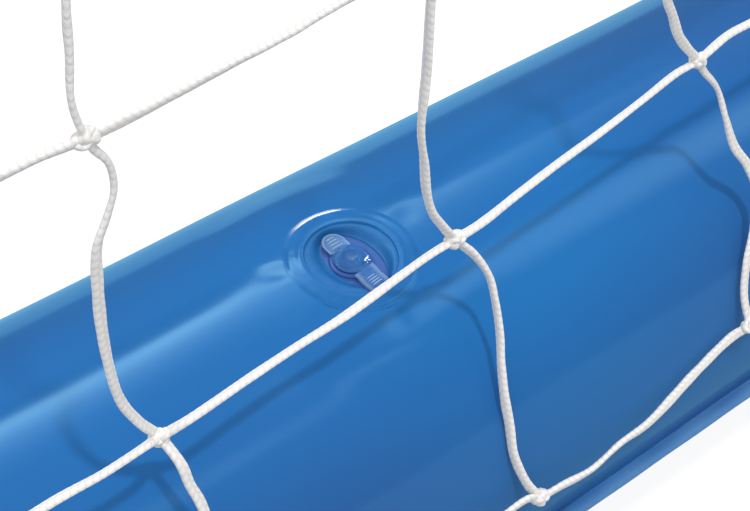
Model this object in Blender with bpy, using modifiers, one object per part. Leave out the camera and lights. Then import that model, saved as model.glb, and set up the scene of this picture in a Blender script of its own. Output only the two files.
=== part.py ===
"""Inflatable pool volleyball net: two cross floats, two posts, a base tube, a knotted net and three valves.

The set stands on the undersides of its cross floats. +X runs along the net, -Y is the front, +Z is up, and
the origin is at the middle of the footprint, on the ground. All sizes are in metres and angles in degrees.
"""

import math

import bmesh
import bpy
import numpy as np
from mathutils import Matrix, Vector

# Whole set
LENGTH = 2.400  # over the weld lips of the cross floats
DEPTH = 0.640  # over the anchor tongues
HEIGHT = 0.910  # over the posts' weld lips

# Film, welds and clearances
FILM = 0.0004  # wall of the inflated skins
GAP = 0.0003  # clearance between touching pieces
SHARP = 40.0  # edges sharper than this stay crisp
LIP_OUT = 0.005  # how far a weld lip stands out of a seam
LIP_THICK = 0.0008  # two films welded together
COLLAR_OUT = 0.006  # weld collar round a tube's end
COLLAR_THICK = 0.0008
WELD = 0.00001  # points closer than this are one point
REACH = 0.2  # half the length of a cutter that goes right through a piece

# Inflated tubes
BASE_R = 0.070
FLOAT_R = 0.100
POST_R = 0.060
FLOAT_END = 0.085  # length of a float's tapered end
POST_DOME = 0.045  # height of a post's domed top
REST_DEPTH = 0.001  # how flat a float sits
BASE_SIDES = 36
FLOAT_SIDES = 24
POST_SIDES = 24
END_STEPS = 4  # rings in a tapered or domed end
SEAM_FRONT = -20.0  # elevation of the base tube's front seam
SEAM_BACK = 160.0

FLOAT_Z = FLOAT_R - REST_DEPTH
FLOAT_X = LENGTH / 2 - FLOAT_R - LIP_OUT
BASE_Z = 0.072
AIR_HOLE_R = 0.015  # passage from a float into its post
AIR_HOLE_Z = (0.15, 0.25)  # through the top of the float only

# Anchor tongues, part of the floats' weld lip
TONGUE_OUT = 0.030
TONGUE_R = 0.014
TONGUE_FLARE = 0.006  # how much wider it is where it leaves the lip
FLOAT_HALF = DEPTH / 2 - TONGUE_OUT + LIP_OUT

# Net
CELLS_WIDE = 20
CELLS_HIGH = 7
NET_HALF = 0.975  # half the span between the corner knots
NET_Y = -0.043  # plane that the net hangs in
FOOT_CORNER_Z = 0.205
HEAD_CORNER_Z = 0.821
FOOT_SAG = 0.150
HEAD_SAG = 0.110
FOOT_CURVE = 2.8  # power of the sag curve, flatter in the middle where the tube carries the net
HEAD_CURVE = 2.0
DRAPE_R = 0.0752  # how far from the tube's axis the net lies on it
ROW_SHARE = (84.0, 93.0, 96.5, 96.5, 97.0, 97.0, 97.0)  # heights of the cells, from the foot up
CORD_WIDE = 0.0038  # across the corners of a square cord as heavy as a round one of 3 mm
KNOT_WIDE = 0.0084
KNOT_NUDGES = {  # column and row of a knot that the photograph shows, and how far along and up it is moved
    (14, 2): (-0.0045, 0.0),
    (14, 1): (-0.0032, 0.0003),
    (15, 1): (0.0017, -0.0028),
    (15, 0): (0.0052, 0.0001),
    (16, 1): (-0.0035, 0.0005),
    (16, 0): (0.0065, -0.0046),
}
CORD_SWAY = 0.0055  # how far the slack cords leave and reach their knots to one side
CORD_BENDS = ((0.12, -1.0), (0.88, 1.0))  # how far up the cell, and the share of the sway
DRAPED_BENDS = ((0.12, -1.0), (0.38, -0.6), (0.64, 0.3), (0.88, 1.0))  # where the cord also lies round the tube

# Tie tabs on the posts, a little above the net's corners, in line with the pull of its cords
TAB_HEIGHTS = {"lower": 0.235, "upper": 0.838}
TAB_OUT = 0.024
TAB_ROOT = 0.032
TAB_TIP_R = 0.010
TAB_THICK = 0.0012
TAB_FOOT = 0.030  # the tab is drawn from here, inside the post, and cut back to its skin
TAB_SHOULDER = 0.003
PATCH_TALL = 0.040
PATCH_THICK = 0.0008
PATCH_HALF = 0.014
EYELET_FROM_SKIN = 0.014
TIE_R = 0.0015
TIE_FROM_CORNER = 0.0046  # from the middle of the net's corner knot
TIE_KNOT_R = 0.0042
TIE_KNOT_FROM_EYE = 0.032
TIE_SLACK = 0.0006
TIE_LOOP = ((0.026, 0.30), (0.016, 0.85), (0.008, 1.0), (0.0025, 0.9))  # distance from the eye, share of the spread

# Eyelets
EYELET_BORE = 0.0040
EYELET_SLEEVE = 0.0047
EYELET_RIM = 0.0075
EYELET_HOLE = 0.0050
EYELET_FLAT = 0.0062  # out to here a rim's face is flat, and then it rolls down to the film
EYELET_RIM_THICK = 0.0006
EYELET_SIDES = 12

# Valve, measured from the skin's outer face along the valve's own axis
FLANGE_R = 0.0193
FLANGE_THICK = 0.0008
DISH_R = 0.0154
SKIN_HOLE_R = 0.0158
DISH_FOOT_R = 0.0138
DISH_FOOT = -0.0052
DISH_FLARE = 0.0008  # how much wider the dish is drawn above the skin, before it is cut to DISH_R
BOWL_PROFILE = (  # the recess's inner face, from above the skin down to where the floor disc slides
    (0.0, 0.006),
    (0.0170, 0.006),
    (0.0149, 0.0010),
    (0.0142, -0.0016),
    (0.0132, -0.0024),
    (0.0129, -0.0060),
    (0.0, -0.0060),
)
FLOOR_TOP = -0.0032
FLOOR_THICK = 0.0008
FLOOR_R = 0.0126
STEM_R = 0.0062
STEM_BORE = 0.0049
STEM_TOP = -0.0024
STEM_END = -0.0155
CAP_R = 0.00575
CAP_TOP = -0.0009
CAP_EDGE = 0.0003
DIMPLE_DEEP = 0.0004
DIMPLE_R = 0.0022
DIMPLE_FLAT_R = 0.0014
PLUG_ROOT_R = 0.0046
PLUG_TIP_R = 0.0040
PLUG_END = -0.0055
STRAP_WIDE = 0.0074
STRAP_THICK = 0.0008
STRAP_HINGE = 0.0118
HINGE_IN = 0.0002  # the strap bends just inside its end
STRAP_BEND = (0.0066, 0.0082)  # where the strap drops from the cap to the floor
STRAP_LAP = 0.0045  # how far under the cap's edge the strap and the pull tab start
STRAP_RISE = 0.0001  # how far the strap's and the tab's undersides are above the cap's
PULL_RISE = 0.00015
TAB_WIDE = 0.0075
TAB_LONG = 0.0116
PULL_THICK = 0.0007
FLAP_R = 0.0058
FLAP_THICK = 0.0006
VALVE_TURN = 7.0  # how far the strap is turned from straight across the tube
VALVE_SIDES = 20
PLUG_SIDES = 16

BASE_VALVE_X = 0.483
BASE_VALVE_LEAN = 80.0  # elevation of the valve's axis, seen from the front
FLOAT_VALVE_Y = -0.170

COLOURS = {
    "blue": (0.022, 0.162, 0.468, 1.0),
    "clear": (0.10, 0.27, 0.58, 1.0),
    "white": (0.86, 0.85, 0.82, 1.0),
    "nickel": (0.62, 0.61, 0.58, 1.0),
}


def clear_scene():
    for item in list(bpy.data.objects):
        bpy.data.objects.remove(item)


def new_collection(name):
    made = bpy.data.collections.new(name)
    bpy.context.scene.collection.children.link(made)
    return made


def shade(home):
    """Applies each part's modifiers and shades it smooth between its sharp edges."""
    bpy.context.view_layer.update()
    depsgraph = bpy.context.evaluated_depsgraph_get()
    meshes = {item: bpy.data.meshes.new_from_object(item.evaluated_get(depsgraph)) for item in home.objects}
    for item, mesh in meshes.items():
        item.modifiers.clear()
        item.data = mesh
        mesh.shade_smooth()
        mesh.set_sharp_from_angle(angle=math.radians(SHARP))


def finish_material(name, colour, roughness, metallic=0.0):
    made = bpy.data.materials.new(name)
    made.use_nodes = True
    shader = made.node_tree.nodes["Principled BSDF"]
    shader.inputs["Base Color"].default_value = COLOURS[colour]
    shader.inputs["Roughness"].default_value = roughness
    shader.inputs["Metallic"].default_value = metallic
    return made


def link(mesh, name, home, matrix=None):
    item = bpy.data.objects.new(name, mesh)
    home.objects.link(item)
    if matrix is not None:
        item.matrix_world = matrix
    return item


def as_cutter(item):
    item.hide_render = True
    item.display_type = "WIRE"
    return item


def flat_outline(name, loops, thickness, home, matrix):
    """A closed flat outline, with holes where there is more than one loop, given its thickness along Z."""
    curve = bpy.data.curves.new(name, "CURVE")
    curve.dimensions = "2D"
    curve.fill_mode = "BOTH"
    curve.extrude = thickness / 2
    for loop in loops:
        spline = curve.splines.new("POLY")
        spline.points.add(len(loop) - 1)
        for point, (x, y) in zip(spline.points, loop):
            point.co = (x, y, 0.0, 1.0)
        spline.use_cyclic_u = True
    return curve_to_mesh(curve, name, home, matrix)


def curve_to_mesh(curve, name, home, matrix):
    """The curve's evaluated mesh with its loose caps welded on."""
    source = bpy.data.objects.new(name + "_curve", curve)
    home.objects.link(source)
    bpy.context.view_layer.update()
    evaluated = source.evaluated_get(bpy.context.evaluated_depsgraph_get())
    mesh = bpy.data.meshes.new_from_object(evaluated)
    bpy.data.objects.remove(source)
    shape = bmesh.new()
    shape.from_mesh(mesh)
    bmesh.ops.remove_doubles(shape, verts=shape.verts, dist=WELD)
    bmesh.ops.recalc_face_normals(shape, faces=shape.faces)
    shape.to_mesh(mesh)
    shape.free()
    return link(mesh, name, home, matrix)


def round_cord(name, points, radius, home):
    """A cord of round section along the points, as one closed mesh."""
    curve = bpy.data.curves.new(name, "CURVE")
    curve.dimensions = "3D"
    curve.bevel_depth = radius
    curve.bevel_resolution = 1
    curve.use_fill_caps = True
    spline = curve.splines.new("POLY")
    spline.points.add(len(points) - 1)
    for point, place_at in zip(spline.points, points):
        point.co = (*place_at, 1.0)
    return curve_to_mesh(curve, name, home, Matrix())


def cylinder(name, radius, z_low, z_high, sides, home, matrix=None, radius_high=None):
    """A cylinder or frustum on local Z, with its corners at whole steps of the angle from local X."""
    shape = bmesh.new()
    bmesh.ops.create_cone(
        shape,
        cap_ends=True,
        segments=sides,
        radius1=radius,
        radius2=radius if radius_high is None else radius_high,
        depth=z_high - z_low,
        matrix=Matrix.Translation((0.0, 0.0, (z_low + z_high) / 2)),
    )
    mesh = bpy.data.meshes.new(name)
    shape.to_mesh(mesh)
    shape.free()
    return link(mesh, name, home, matrix)


def block(name, low, high, home, matrix=None):
    shape = bmesh.new()
    size = Vector(high) - Vector(low)
    middle = (Vector(high) + Vector(low)) / 2
    bmesh.ops.create_cube(shape, size=1.0, matrix=Matrix.Translation(middle) @ Matrix.Diagonal((*size, 1.0)))
    mesh = bpy.data.meshes.new(name)
    shape.to_mesh(mesh)
    shape.free()
    return link(mesh, name, home, matrix)


def turned(name, profile, sides, home, matrix, closed=False):
    """A profile of (radius, height) pairs turned about local Z; it runs down the outer side."""
    mesh = bpy.data.meshes.new(name)
    count = len(profile)
    edges = [(i, i + 1) for i in range(count - 1)]
    if closed:
        edges.append((count - 1, 0))
    mesh.from_pydata([(r, 0.0, z) for r, z in profile], edges, [])
    item = link(mesh, name, home, matrix)
    screw = item.modifiers.new("Turn", "SCREW")
    screw.steps = sides
    screw.render_steps = sides
    screw.use_merge_vertices = True
    screw.merge_threshold = WELD
    screw.use_smooth_shade = False
    return item


def cut(item, cutter):
    step = item.modifiers.new("Cut", "BOOLEAN")
    step.operation = "DIFFERENCE"
    step.object = cutter
    return item


def join(item, other):
    step = item.modifiers.new("Join", "BOOLEAN")
    step.operation = "UNION"
    step.object = other
    return item


def keep(item, other):
    step = item.modifiers.new("Keep", "BOOLEAN")
    step.operation = "INTERSECT"
    step.object = other
    return item


def hollow(item):
    """Gives a closed or open surface the film's thickness, inwards."""
    wall = item.modifiers.new("Film", "SOLIDIFY")
    wall.thickness = FILM
    wall.offset = -1.0
    wall.use_even_offset = True
    return item


def polar(radius, degrees):
    angle = math.radians(degrees)
    return radius * math.cos(angle), radius * math.sin(angle)


def axes(x, y, z, origin):
    """The matrix whose local axes point along x, y and z."""
    made = Matrix((x, y, z)).transposed().to_4x4()
    made.translation = origin
    return made


def along_x(z):
    """Local Z runs along the net. Local X is the front, and local Y is up."""
    return axes((0.0, -1.0, 0.0), (0.0, 0.0, 1.0), (-1.0, 0.0, 0.0), (0.0, 0.0, z))


def along_y(side):
    """Local Z runs from front to back on a cross float. Local X is outwards along the net or inwards."""
    return axes((1.0, 0.0, 0.0), (0.0, 0.0, -1.0), (0.0, 1.0, 0.0), (side * FLOAT_X, 0.0, FLOAT_Z))


def upright(side):
    return Matrix.Translation((side * FLOAT_X, 0.0, 0.0))


SIDES = {"left": -1, "right": 1}


# Base tube: a straight tube of two films, welded along a front and a back seam, its ends welded to the floats


def lipped_circle(radius, sides, seams):
    """A circle's corners, with a narrow lip standing out at each seam angle."""
    half = LIP_THICK / 2
    points = []
    for step in range(sides):
        angle = 360.0 * step / sides
        if any(abs((angle - seam) % 360.0) < 0.01 for seam in seams):
            foot = math.degrees(half / radius)
            reach = math.hypot(radius + LIP_OUT, half)
            tip = math.degrees(half / reach)
            points += [polar(radius, angle - foot), polar(reach, angle - tip)]
            points += [polar(reach, angle + tip), polar(radius, angle + foot)]
        else:
            points.append(polar(radius, angle))
    return points


def circle(radius, sides):
    return [polar(radius, 360.0 * step / sides) for step in range(sides)]


def end_collar(name, tube_radius, sides, matrix, low, high, float_side, cutters):
    """A saddle-shaped washer of film round a tube's end, lying on the cross float."""
    band = cylinder(name, tube_radius + COLLAR_OUT, low, high, sides, cutters, matrix)
    over = cylinder(
        name + "_over", FLOAT_R + GAP + COLLAR_THICK, -REACH, REACH, FLOAT_SIDES, cutters, along_y(float_side)
    )
    bore = cylinder(name + "_bore", tube_radius - FILM / 2, low - 0.01, high + 0.01, sides, cutters, matrix)
    keep(band, as_cutter(over))
    cut(band, as_cutter(bore))
    return as_cutter(band)


def float_clearance(name, side, cutters):
    return as_cutter(cylinder(name, FLOAT_R + GAP, -REACH, REACH, FLOAT_SIDES, cutters, along_y(side)))


def make_base_tube(parts, cutters):
    outer = lipped_circle(BASE_R, BASE_SIDES, (SEAM_FRONT, SEAM_BACK))
    inner = circle(BASE_R - FILM, BASE_SIDES)
    tube = flat_outline("base_tube", [outer, inner], 2 * FLOAT_X, parts, along_x(BASE_Z))
    for name, side in SIDES.items():
        ends = sorted((-side * (FLOAT_X - FLOAT_R - 0.02), -side * (FLOAT_X - 0.03)))
        collar = end_collar(
            f"base_collar_{name}", BASE_R, BASE_SIDES, along_x(BASE_Z), ends[0], ends[1], side, cutters
        )
        join(tube, collar)
        cut(tube, float_clearance(f"base_end_{name}", side, cutters))
    tube.data.materials.append(finish_material("base_tube_film", "blue", 0.22))
    return tube


# Cross floats: a turned bag with tapered ends, welded all round its waist, with a tongue at each end


def float_profile(radius, half):
    """From the back end down to the front end, with elliptical ends."""
    straight = half - FLOAT_END
    back = []
    for step in range(END_STEPS + 1):
        turn = math.radians(90.0 * step / END_STEPS)
        back.append((radius * math.sin(turn), straight + FLOAT_END * math.cos(turn)))
    back[0] = (0.0, half)
    return back + [(r, -z) for r, z in reversed(back)]


def lip_outline(half, out):
    """The waist's outline seen from above, moved outwards from the bag's own."""
    straight = half - FLOAT_END
    quarter = []
    for step in range(END_STEPS + 1):
        turn = math.radians(90.0 * step / END_STEPS)
        quarter.append(
            ((FLOAT_R + out) * math.sin(turn), straight + (FLOAT_END + out) * math.cos(turn))
        )
    right = quarter + [(x, -y) for x, y in reversed(quarter)]
    left = [(-x, y) for x, y in reversed(right[1:-1])]
    return right + left


def tongue_outline(side):
    """A rounded tongue that starts inside the lip and reaches the anchor eyelet."""
    root = FLOAT_HALF - 0.004
    centre = DEPTH / 2 - TONGUE_R
    arc = [polar(TONGUE_R, 180.0 * step / 10) for step in range(11)]
    wide = TONGUE_R + TONGUE_FLARE
    points = [(wide, root)] + [(x, centre + y) for x, y in arc] + [(-wide, root)]
    return [(x, side * y) for x, y in points]


def make_float(name, side, parts, cutters):
    bag = turned(f"float_{name}", float_profile(FLOAT_R, FLOAT_HALF - LIP_OUT), FLOAT_SIDES, parts, along_y(side))
    flat = block(
        f"float_{name}_rest",
        (-FLOAT_R, -DEPTH, -FLOAT_R),
        (FLOAT_R, DEPTH, 0.0),
        cutters,
        Matrix.Translation((side * FLOAT_X, 0.0, 0.0)),
    )
    cut(bag, as_cutter(flat))
    hollow(bag)
    level = Matrix.Translation((side * FLOAT_X, 0.0, FLOAT_Z))
    outer = lip_outline(FLOAT_HALF - LIP_OUT, LIP_OUT)
    inner = lip_outline(FLOAT_HALF - LIP_OUT, -FILM / 2)
    lip = flat_outline(f"float_{name}_lip", [outer, inner], LIP_THICK, cutters, level)
    for end in (-1, 1):
        tongue = flat_outline(f"float_{name}_tongue_{end}", [tongue_outline(end)], LIP_THICK, cutters, level)
        hole = cylinder(
            f"float_{name}_hole_{end}",
            EYELET_HOLE,
            -0.01,
            0.01,
            EYELET_SIDES,
            cutters,
            Matrix.Translation((side * FLOAT_X, end * (DEPTH / 2 - TONGUE_R), FLOAT_Z)),
        )
        join(lip, as_cutter(tongue))
        cut(lip, as_cutter(hole))
    clearance = cylinder(
        f"float_{name}_lip_gap",
        BASE_R + COLLAR_OUT + 0.001,
        min(0.0, -side * FLOAT_X),
        max(0.0, -side * FLOAT_X),
        BASE_SIDES,
        cutters,
        along_x(BASE_Z),
    )
    cut(lip, as_cutter(clearance))
    join(bag, as_cutter(lip))
    air = cylinder(f"float_{name}_air", AIR_HOLE_R, *AIR_HOLE_Z, 16, cutters, upright(side))
    cut(bag, as_cutter(air))
    bag.data.materials.append(finish_material(f"float_{name}_film", "blue", 0.22))
    return bag


# Posts: tubes with domed tops, open below onto the float's air hole, welded round with a side lip over the top


def post_profile():
    """From the top of the dome down to below the float's skin."""
    top = HEIGHT - LIP_OUT
    points = []
    for step in range(END_STEPS + 1):
        turn = math.radians(90.0 * step / END_STEPS)
        points.append((POST_R * math.sin(turn), top - POST_DOME + POST_DOME * math.cos(turn)))
    points[0] = (0.0, top)
    return points + [(POST_R, FLOAT_Z + 0.05)]


def post_lip_outline():
    """The weld lip over the post in its side plane: out to the lip's edge and back inside the film."""
    top = HEIGHT - LIP_OUT
    sides = []
    for out in (LIP_OUT, -FILM / 2):
        arc = []
        for step in range(-END_STEPS, END_STEPS + 1):
            turn = math.radians(90.0 * step / END_STEPS)
            arc.append(((POST_R + out) * math.sin(turn), top - POST_DOME + (POST_DOME + out) * math.cos(turn)))
        bottom = FLOAT_Z + 0.06
        sides.append([(-POST_R - out, bottom)] + arc + [(POST_R + out, bottom)])
    return sides[0] + sides[1][::-1]


def make_post(name, side, parts, cutters):
    post = turned(f"post_{name}", post_profile(), POST_SIDES, parts, upright(side))
    hollow(post)
    facing = axes((1.0, 0.0, 0.0), (0.0, 0.0, 1.0), (0.0, -1.0, 0.0), (side * FLOAT_X, 0.0, 0.0))
    lip = flat_outline(f"post_{name}_lip", [post_lip_outline()], LIP_THICK, cutters, facing)
    join(post, as_cutter(lip))
    collar = end_collar(
        f"post_{name}_collar", POST_R, POST_SIDES, upright(side), FLOAT_Z + 0.06, FLOAT_Z + 0.12, side, cutters
    )
    join(post, collar)
    cut(post, float_clearance(f"post_{name}_end", side, cutters))
    post.data.materials.append(finish_material(f"post_{name}_film", "blue", 0.22))
    return post


# Net: square meshes of knotted cord, hung from its corners and draped over the front of the base tube


def net_height(share, x):
    """Height of a level of the net, from 0 at the foot to 1 at the head, at a place along the net."""
    reach = abs(x) / NET_HALF
    foot = FOOT_CORNER_Z - FOOT_SAG * (1.0 - reach**FOOT_CURVE)
    head = HEAD_CORNER_Z - HEAD_SAG * (1.0 - reach**HEAD_CURVE)
    return foot + (head - foot) * share


def net_front(height):
    """The net hangs in its plane, and lies on the tube's front where the plane would meet it."""
    rise = abs(height - BASE_Z)
    if rise >= DRAPE_R:
        return NET_Y
    return min(NET_Y, -math.sqrt(DRAPE_R**2 - rise**2))


def row_points(share):
    """Knot places along a row, at equal lengths of cord."""
    xs = np.linspace(-NET_HALF, NET_HALF, 801)
    zs = np.array([net_height(share, x) for x in xs])
    length = np.concatenate(([0.0], np.cumsum(np.hypot(np.diff(xs), np.diff(zs)))))
    at = np.linspace(0.0, length[-1], CELLS_WIDE + 1)
    return np.interp(at, length, xs)


def knot_places():
    total = sum(ROW_SHARE)
    shares = [sum(ROW_SHARE[:row]) / total for row in range(CELLS_HIGH + 1)]
    places = {}
    for row, share in enumerate(shares):
        for column, x in enumerate(row_points(share)):
            inner = 0 < column < CELLS_WIDE
            drift = 0.0035 * math.sin(2.3 * column + 1.7 * row) if inner else 0.0
            lift = 0.0030 * math.sin(1.9 * column - 2.6 * row + 0.8) if inner and 0 < row < CELLS_HIGH else 0.0
            along, up = KNOT_NUDGES.get((column, row), (0.0, 0.0))
            z = net_height(share, x) + lift + up
            places[column, row] = Vector((x + drift + along, net_front(z), z))
    return places


def make_net(parts):
    """A sheet of meshes whose edges are the cords' routes, made into cords and knots by the Wireframe modifier."""
    places = knot_places()
    points = []
    weights = []

    def add(point, weight):
        points.append(tuple(point))
        weights.append(weight)
        return len(points) - 1

    thin = CORD_WIDE / KNOT_WIDE
    knots = {key: add(place_at, 1.0) for key, place_at in places.items()}
    rows = {}
    columns = {}
    for row in range(CELLS_HIGH + 1):
        for column in range(CELLS_WIDE):
            start, end = places[column, row], places[column + 1, row]
            inner = [add(start.lerp(end, t), thin) for t in (0.065, 0.935)]
            rows[column, row] = [knots[column, row], *inner, knots[column + 1, row]]
    for column in range(CELLS_WIDE + 1):
        for row in range(CELLS_HIGH):
            start, end = places[column, row], places[column, row + 1]
            sway = 1.0 + 0.3 * math.sin(1.3 * column + 2.1 * row) if 0 < column < CELLS_WIDE else 0.0
            inner = []
            for t, aside in CORD_BENDS if row else DRAPED_BENDS:
                point = start.lerp(end, t) + Vector((aside * CORD_SWAY * sway, 0.0, 0.0))
                point.y = min(point.y, net_front(point.z))
                inner.append(add(point, thin))
            columns[column, row] = [knots[column, row], *inner, knots[column, row + 1]]
    faces = []
    for row in range(CELLS_HIGH):
        for column in range(CELLS_WIDE):
            loop = rows[column, row][:-1] + columns[column + 1, row][:-1]
            loop += rows[column, row + 1][:0:-1] + columns[column, row][:0:-1]
            faces.append(loop)
    mesh = bpy.data.meshes.new("net")
    mesh.from_pydata(points, [], faces)
    net = link(mesh, "net", parts)
    group = net.vertex_groups.new(name="cord_width")
    for index, weight in enumerate(weights):
        group.add([index], weight, "REPLACE")
    cords = net.modifiers.new("Cords", "WIREFRAME")
    cords.thickness = KNOT_WIDE
    cords.offset = 0.0
    cords.use_replace = True
    cords.use_boundary = True
    cords.use_even_offset = True
    cords.use_relative_offset = False
    cords.vertex_group = "cord_width"
    net.data.materials.append(finish_material("net_cord", "white", 0.85))
    return net


# Tie tabs, their eyelets and the ties at the net's four corners


def tab_skin_x():
    """How far in front of the post's axis its skin is, in the net's plane."""
    return math.sqrt((POST_R + GAP) ** 2 - NET_Y**2)


def eyelet_centre(side, height):
    return Vector((side * (FLOAT_X - tab_skin_x() - EYELET_FROM_SKIN), NET_Y, height))


def make_eyelet(name, half, matrix, home):
    """A pressed eyelet: a sleeve through the film with a rim on each side."""
    inner = half + GAP
    outer = inner + EYELET_RIM_THICK
    profile = [
        (EYELET_BORE, outer),
        (EYELET_FLAT, outer),
        (EYELET_RIM, inner),
        (EYELET_SLEEVE, inner),
        (EYELET_SLEEVE, -inner),
        (EYELET_RIM, -inner),
        (EYELET_FLAT, -outer),
        (EYELET_BORE, -outer),
    ]
    ring = turned(name, profile, EYELET_SIDES, home, matrix, closed=True)
    ring.data.materials.append(finish_material(name + "_metal", "nickel", 0.3, 1.0))
    return ring


def make_tab(name, side, height, parts, cutters):
    """A tab of doubled film in the net's plane, standing on a welded patch that follows the post."""
    tip = tab_skin_x() + TAB_OUT - TAB_TIP_R
    arc = [polar(TAB_TIP_R, -90.0 + 180.0 * step / 8) for step in range(9)]
    shoulder = tab_skin_x() + TAB_SHOULDER
    outline = [(TAB_FOOT, -TAB_ROOT / 2), (shoulder, -TAB_ROOT / 2)]
    outline += [(tip + x, y) for x, y in arc]
    outline += [(shoulder, TAB_ROOT / 2), (TAB_FOOT, TAB_ROOT / 2)]
    facing = axes((-side, 0.0, 0.0), (0.0, 0.0, 1.0), (0.0, side, 0.0), (side * FLOAT_X, NET_Y, height))
    tab = flat_outline(name, [outline], TAB_THICK, parts, facing)
    centre = eyelet_centre(side, height)
    front = axes((1.0, 0.0, 0.0), (0.0, 0.0, 1.0), (0.0, -1.0, 0.0), centre)
    cut(tab, as_cutter(cylinder(name + "_hole", EYELET_HOLE, -0.01, 0.01, EYELET_SIDES, cutters, front)))
    stand = Matrix.Translation((side * FLOAT_X, 0.0, height))
    half = PATCH_TALL / 2
    patch = cylinder(name + "_patch", POST_R + GAP + PATCH_THICK, -half, half, POST_SIDES, cutters, stand)
    near, far = sorted((-side * TAB_FOOT / 2, -side * POST_R * 1.1))
    low = (near, NET_Y - PATCH_HALF, -PATCH_TALL)
    high = (far, NET_Y + PATCH_HALF, PATCH_TALL)
    keep(patch, as_cutter(block(name + "_window", low, high, cutters, stand)))
    join(tab, as_cutter(patch))
    inside = cylinder(name + "_inside", POST_R + GAP, -PATCH_TALL, PATCH_TALL, POST_SIDES, cutters, stand)
    cut(tab, as_cutter(inside))
    tab.data.materials.append(finish_material(name + "_film", "blue", 0.3))
    return tab


def tie_route(side, level):
    """The tie's start at the net's corner, its knot, and its loop through the eyelet, either side of the tab."""
    eye = eyelet_centre(side, TAB_HEIGHTS[level])
    corner = Vector((side * NET_HALF, NET_Y, {"lower": FOOT_CORNER_Z, "upper": HEAD_CORNER_Z}[level]))
    pull = (corner - eye).normalized()
    spread = TAB_THICK / 2 + EYELET_RIM_THICK + GAP + TIE_R + TIE_SLACK
    knot = eye + pull * TIE_KNOT_FROM_EYE
    front = [eye + pull * along - Vector((0.0, spread * aside, 0.0)) for along, aside in TIE_LOOP]
    back = [eye + pull * along + Vector((0.0, spread * aside, 0.0)) for along, aside in TIE_LOOP[::-1]]
    return corner - pull * TIE_FROM_CORNER, knot, [knot, *front, eye, *back, knot]


def make_tie(name, side, level, parts, cutters):
    start, knot, loop = tie_route(side, level)
    tie = round_cord(name, [start, start.lerp(knot, 0.5), knot], TIE_R, parts)
    near = round_cord(name + "_front", loop[:6], TIE_R, cutters)
    far = round_cord(name + "_back", loop[5:], TIE_R, cutters)
    shape = bmesh.new()
    bmesh.ops.create_icosphere(shape, subdivisions=1, radius=TIE_KNOT_R, matrix=Matrix.Translation(knot))
    mesh = bpy.data.meshes.new(name + "_knot")
    shape.to_mesh(mesh)
    shape.free()
    lump = link(mesh, name + "_knot", cutters)
    for piece in (near, far, lump):
        join(tie, as_cutter(piece))
    tie.data.materials.append(finish_material(name + "_cord", "white", 0.85))
    return tie


# Valves: a welded flange with a shallow recess, a stem that pulls out, a plug on a strap and a check flap


def valve_places():
    lean = math.radians(BASE_VALVE_LEAN)
    out = Vector((0.0, -math.cos(lean), math.sin(lean)))
    back = Vector((0.0, math.sin(lean), math.cos(lean)))
    tube = Vector((BASE_VALVE_X, 0.0, BASE_Z))
    places = {"base": axes((1.0, 0.0, 0.0), back, out, tube + out * BASE_R)}
    for name, side in SIDES.items():
        top = (side * FLOAT_X, FLOAT_VALVE_Y, FLOAT_Z + FLOAT_R)
        places[name] = axes((0.0, side, 0.0), (-side, 0.0, 0.0), (0.0, 0.0, 1.0), top)
    return places


def skin_cylinder(name, which, out, cutters):
    """A solid on the skin's own facets, moved outwards."""
    if which == "base":
        body = cylinder(
            name,
            BASE_R + out,
            -BASE_VALVE_X - 0.05,
            -BASE_VALVE_X + 0.05,
            BASE_SIDES,
            cutters,
            along_x(BASE_Z),
        )
    else:
        body = cylinder(
            name,
            FLOAT_R + out,
            FLOAT_VALVE_Y - 0.05,
            FLOAT_VALVE_Y + 0.05,
            FLOAT_SIDES,
            cutters,
            along_y(SIDES[which]),
        )
    return as_cutter(body)


def make_flange(which, matrix, parts, cutters):
    name = f"valve_{which}_flange"
    ring = cylinder(name, FLANGE_R, -0.006, 0.004, VALVE_SIDES, parts, matrix)
    cut(ring, skin_cylinder(name + "_under", which, GAP, cutters))
    wide = DISH_R + DISH_FLARE
    dish = cylinder(name + "_dish", DISH_FOOT_R, DISH_FOOT, 0.004, VALVE_SIDES, cutters, matrix, wide)
    keep_in = cylinder(name + "_in", DISH_R, -0.01, 0.01, VALVE_SIDES, cutters, matrix)
    keep(dish, as_cutter(keep_in))
    join(ring, as_cutter(dish))
    keep(ring, skin_cylinder(name + "_over", which, GAP + FLANGE_THICK, cutters))
    bowl = turned(name + "_bowl", BOWL_PROFILE, VALVE_SIDES, cutters, matrix)
    cut(ring, as_cutter(bowl))
    ring.data.materials.append(finish_material(name + "_vinyl", "blue", 0.18))
    return ring


def make_stem(which, matrix, parts):
    floor_under = FLOOR_TOP - FLOOR_THICK
    profile = [
        (STEM_BORE, STEM_TOP),
        (STEM_R, STEM_TOP),
        (STEM_R, FLOOR_TOP),
        (FLOOR_R, FLOOR_TOP),
        (FLOOR_R, floor_under),
        (STEM_R, floor_under),
        (STEM_R, STEM_END),
        (STEM_BORE, STEM_END),
    ]
    stem = turned(f"valve_{which}_stem", profile, VALVE_SIDES, parts, matrix, closed=True)
    stem.data.materials.append(finish_material(f"valve_{which}_stem_vinyl", "clear", 0.15))
    return stem


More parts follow.
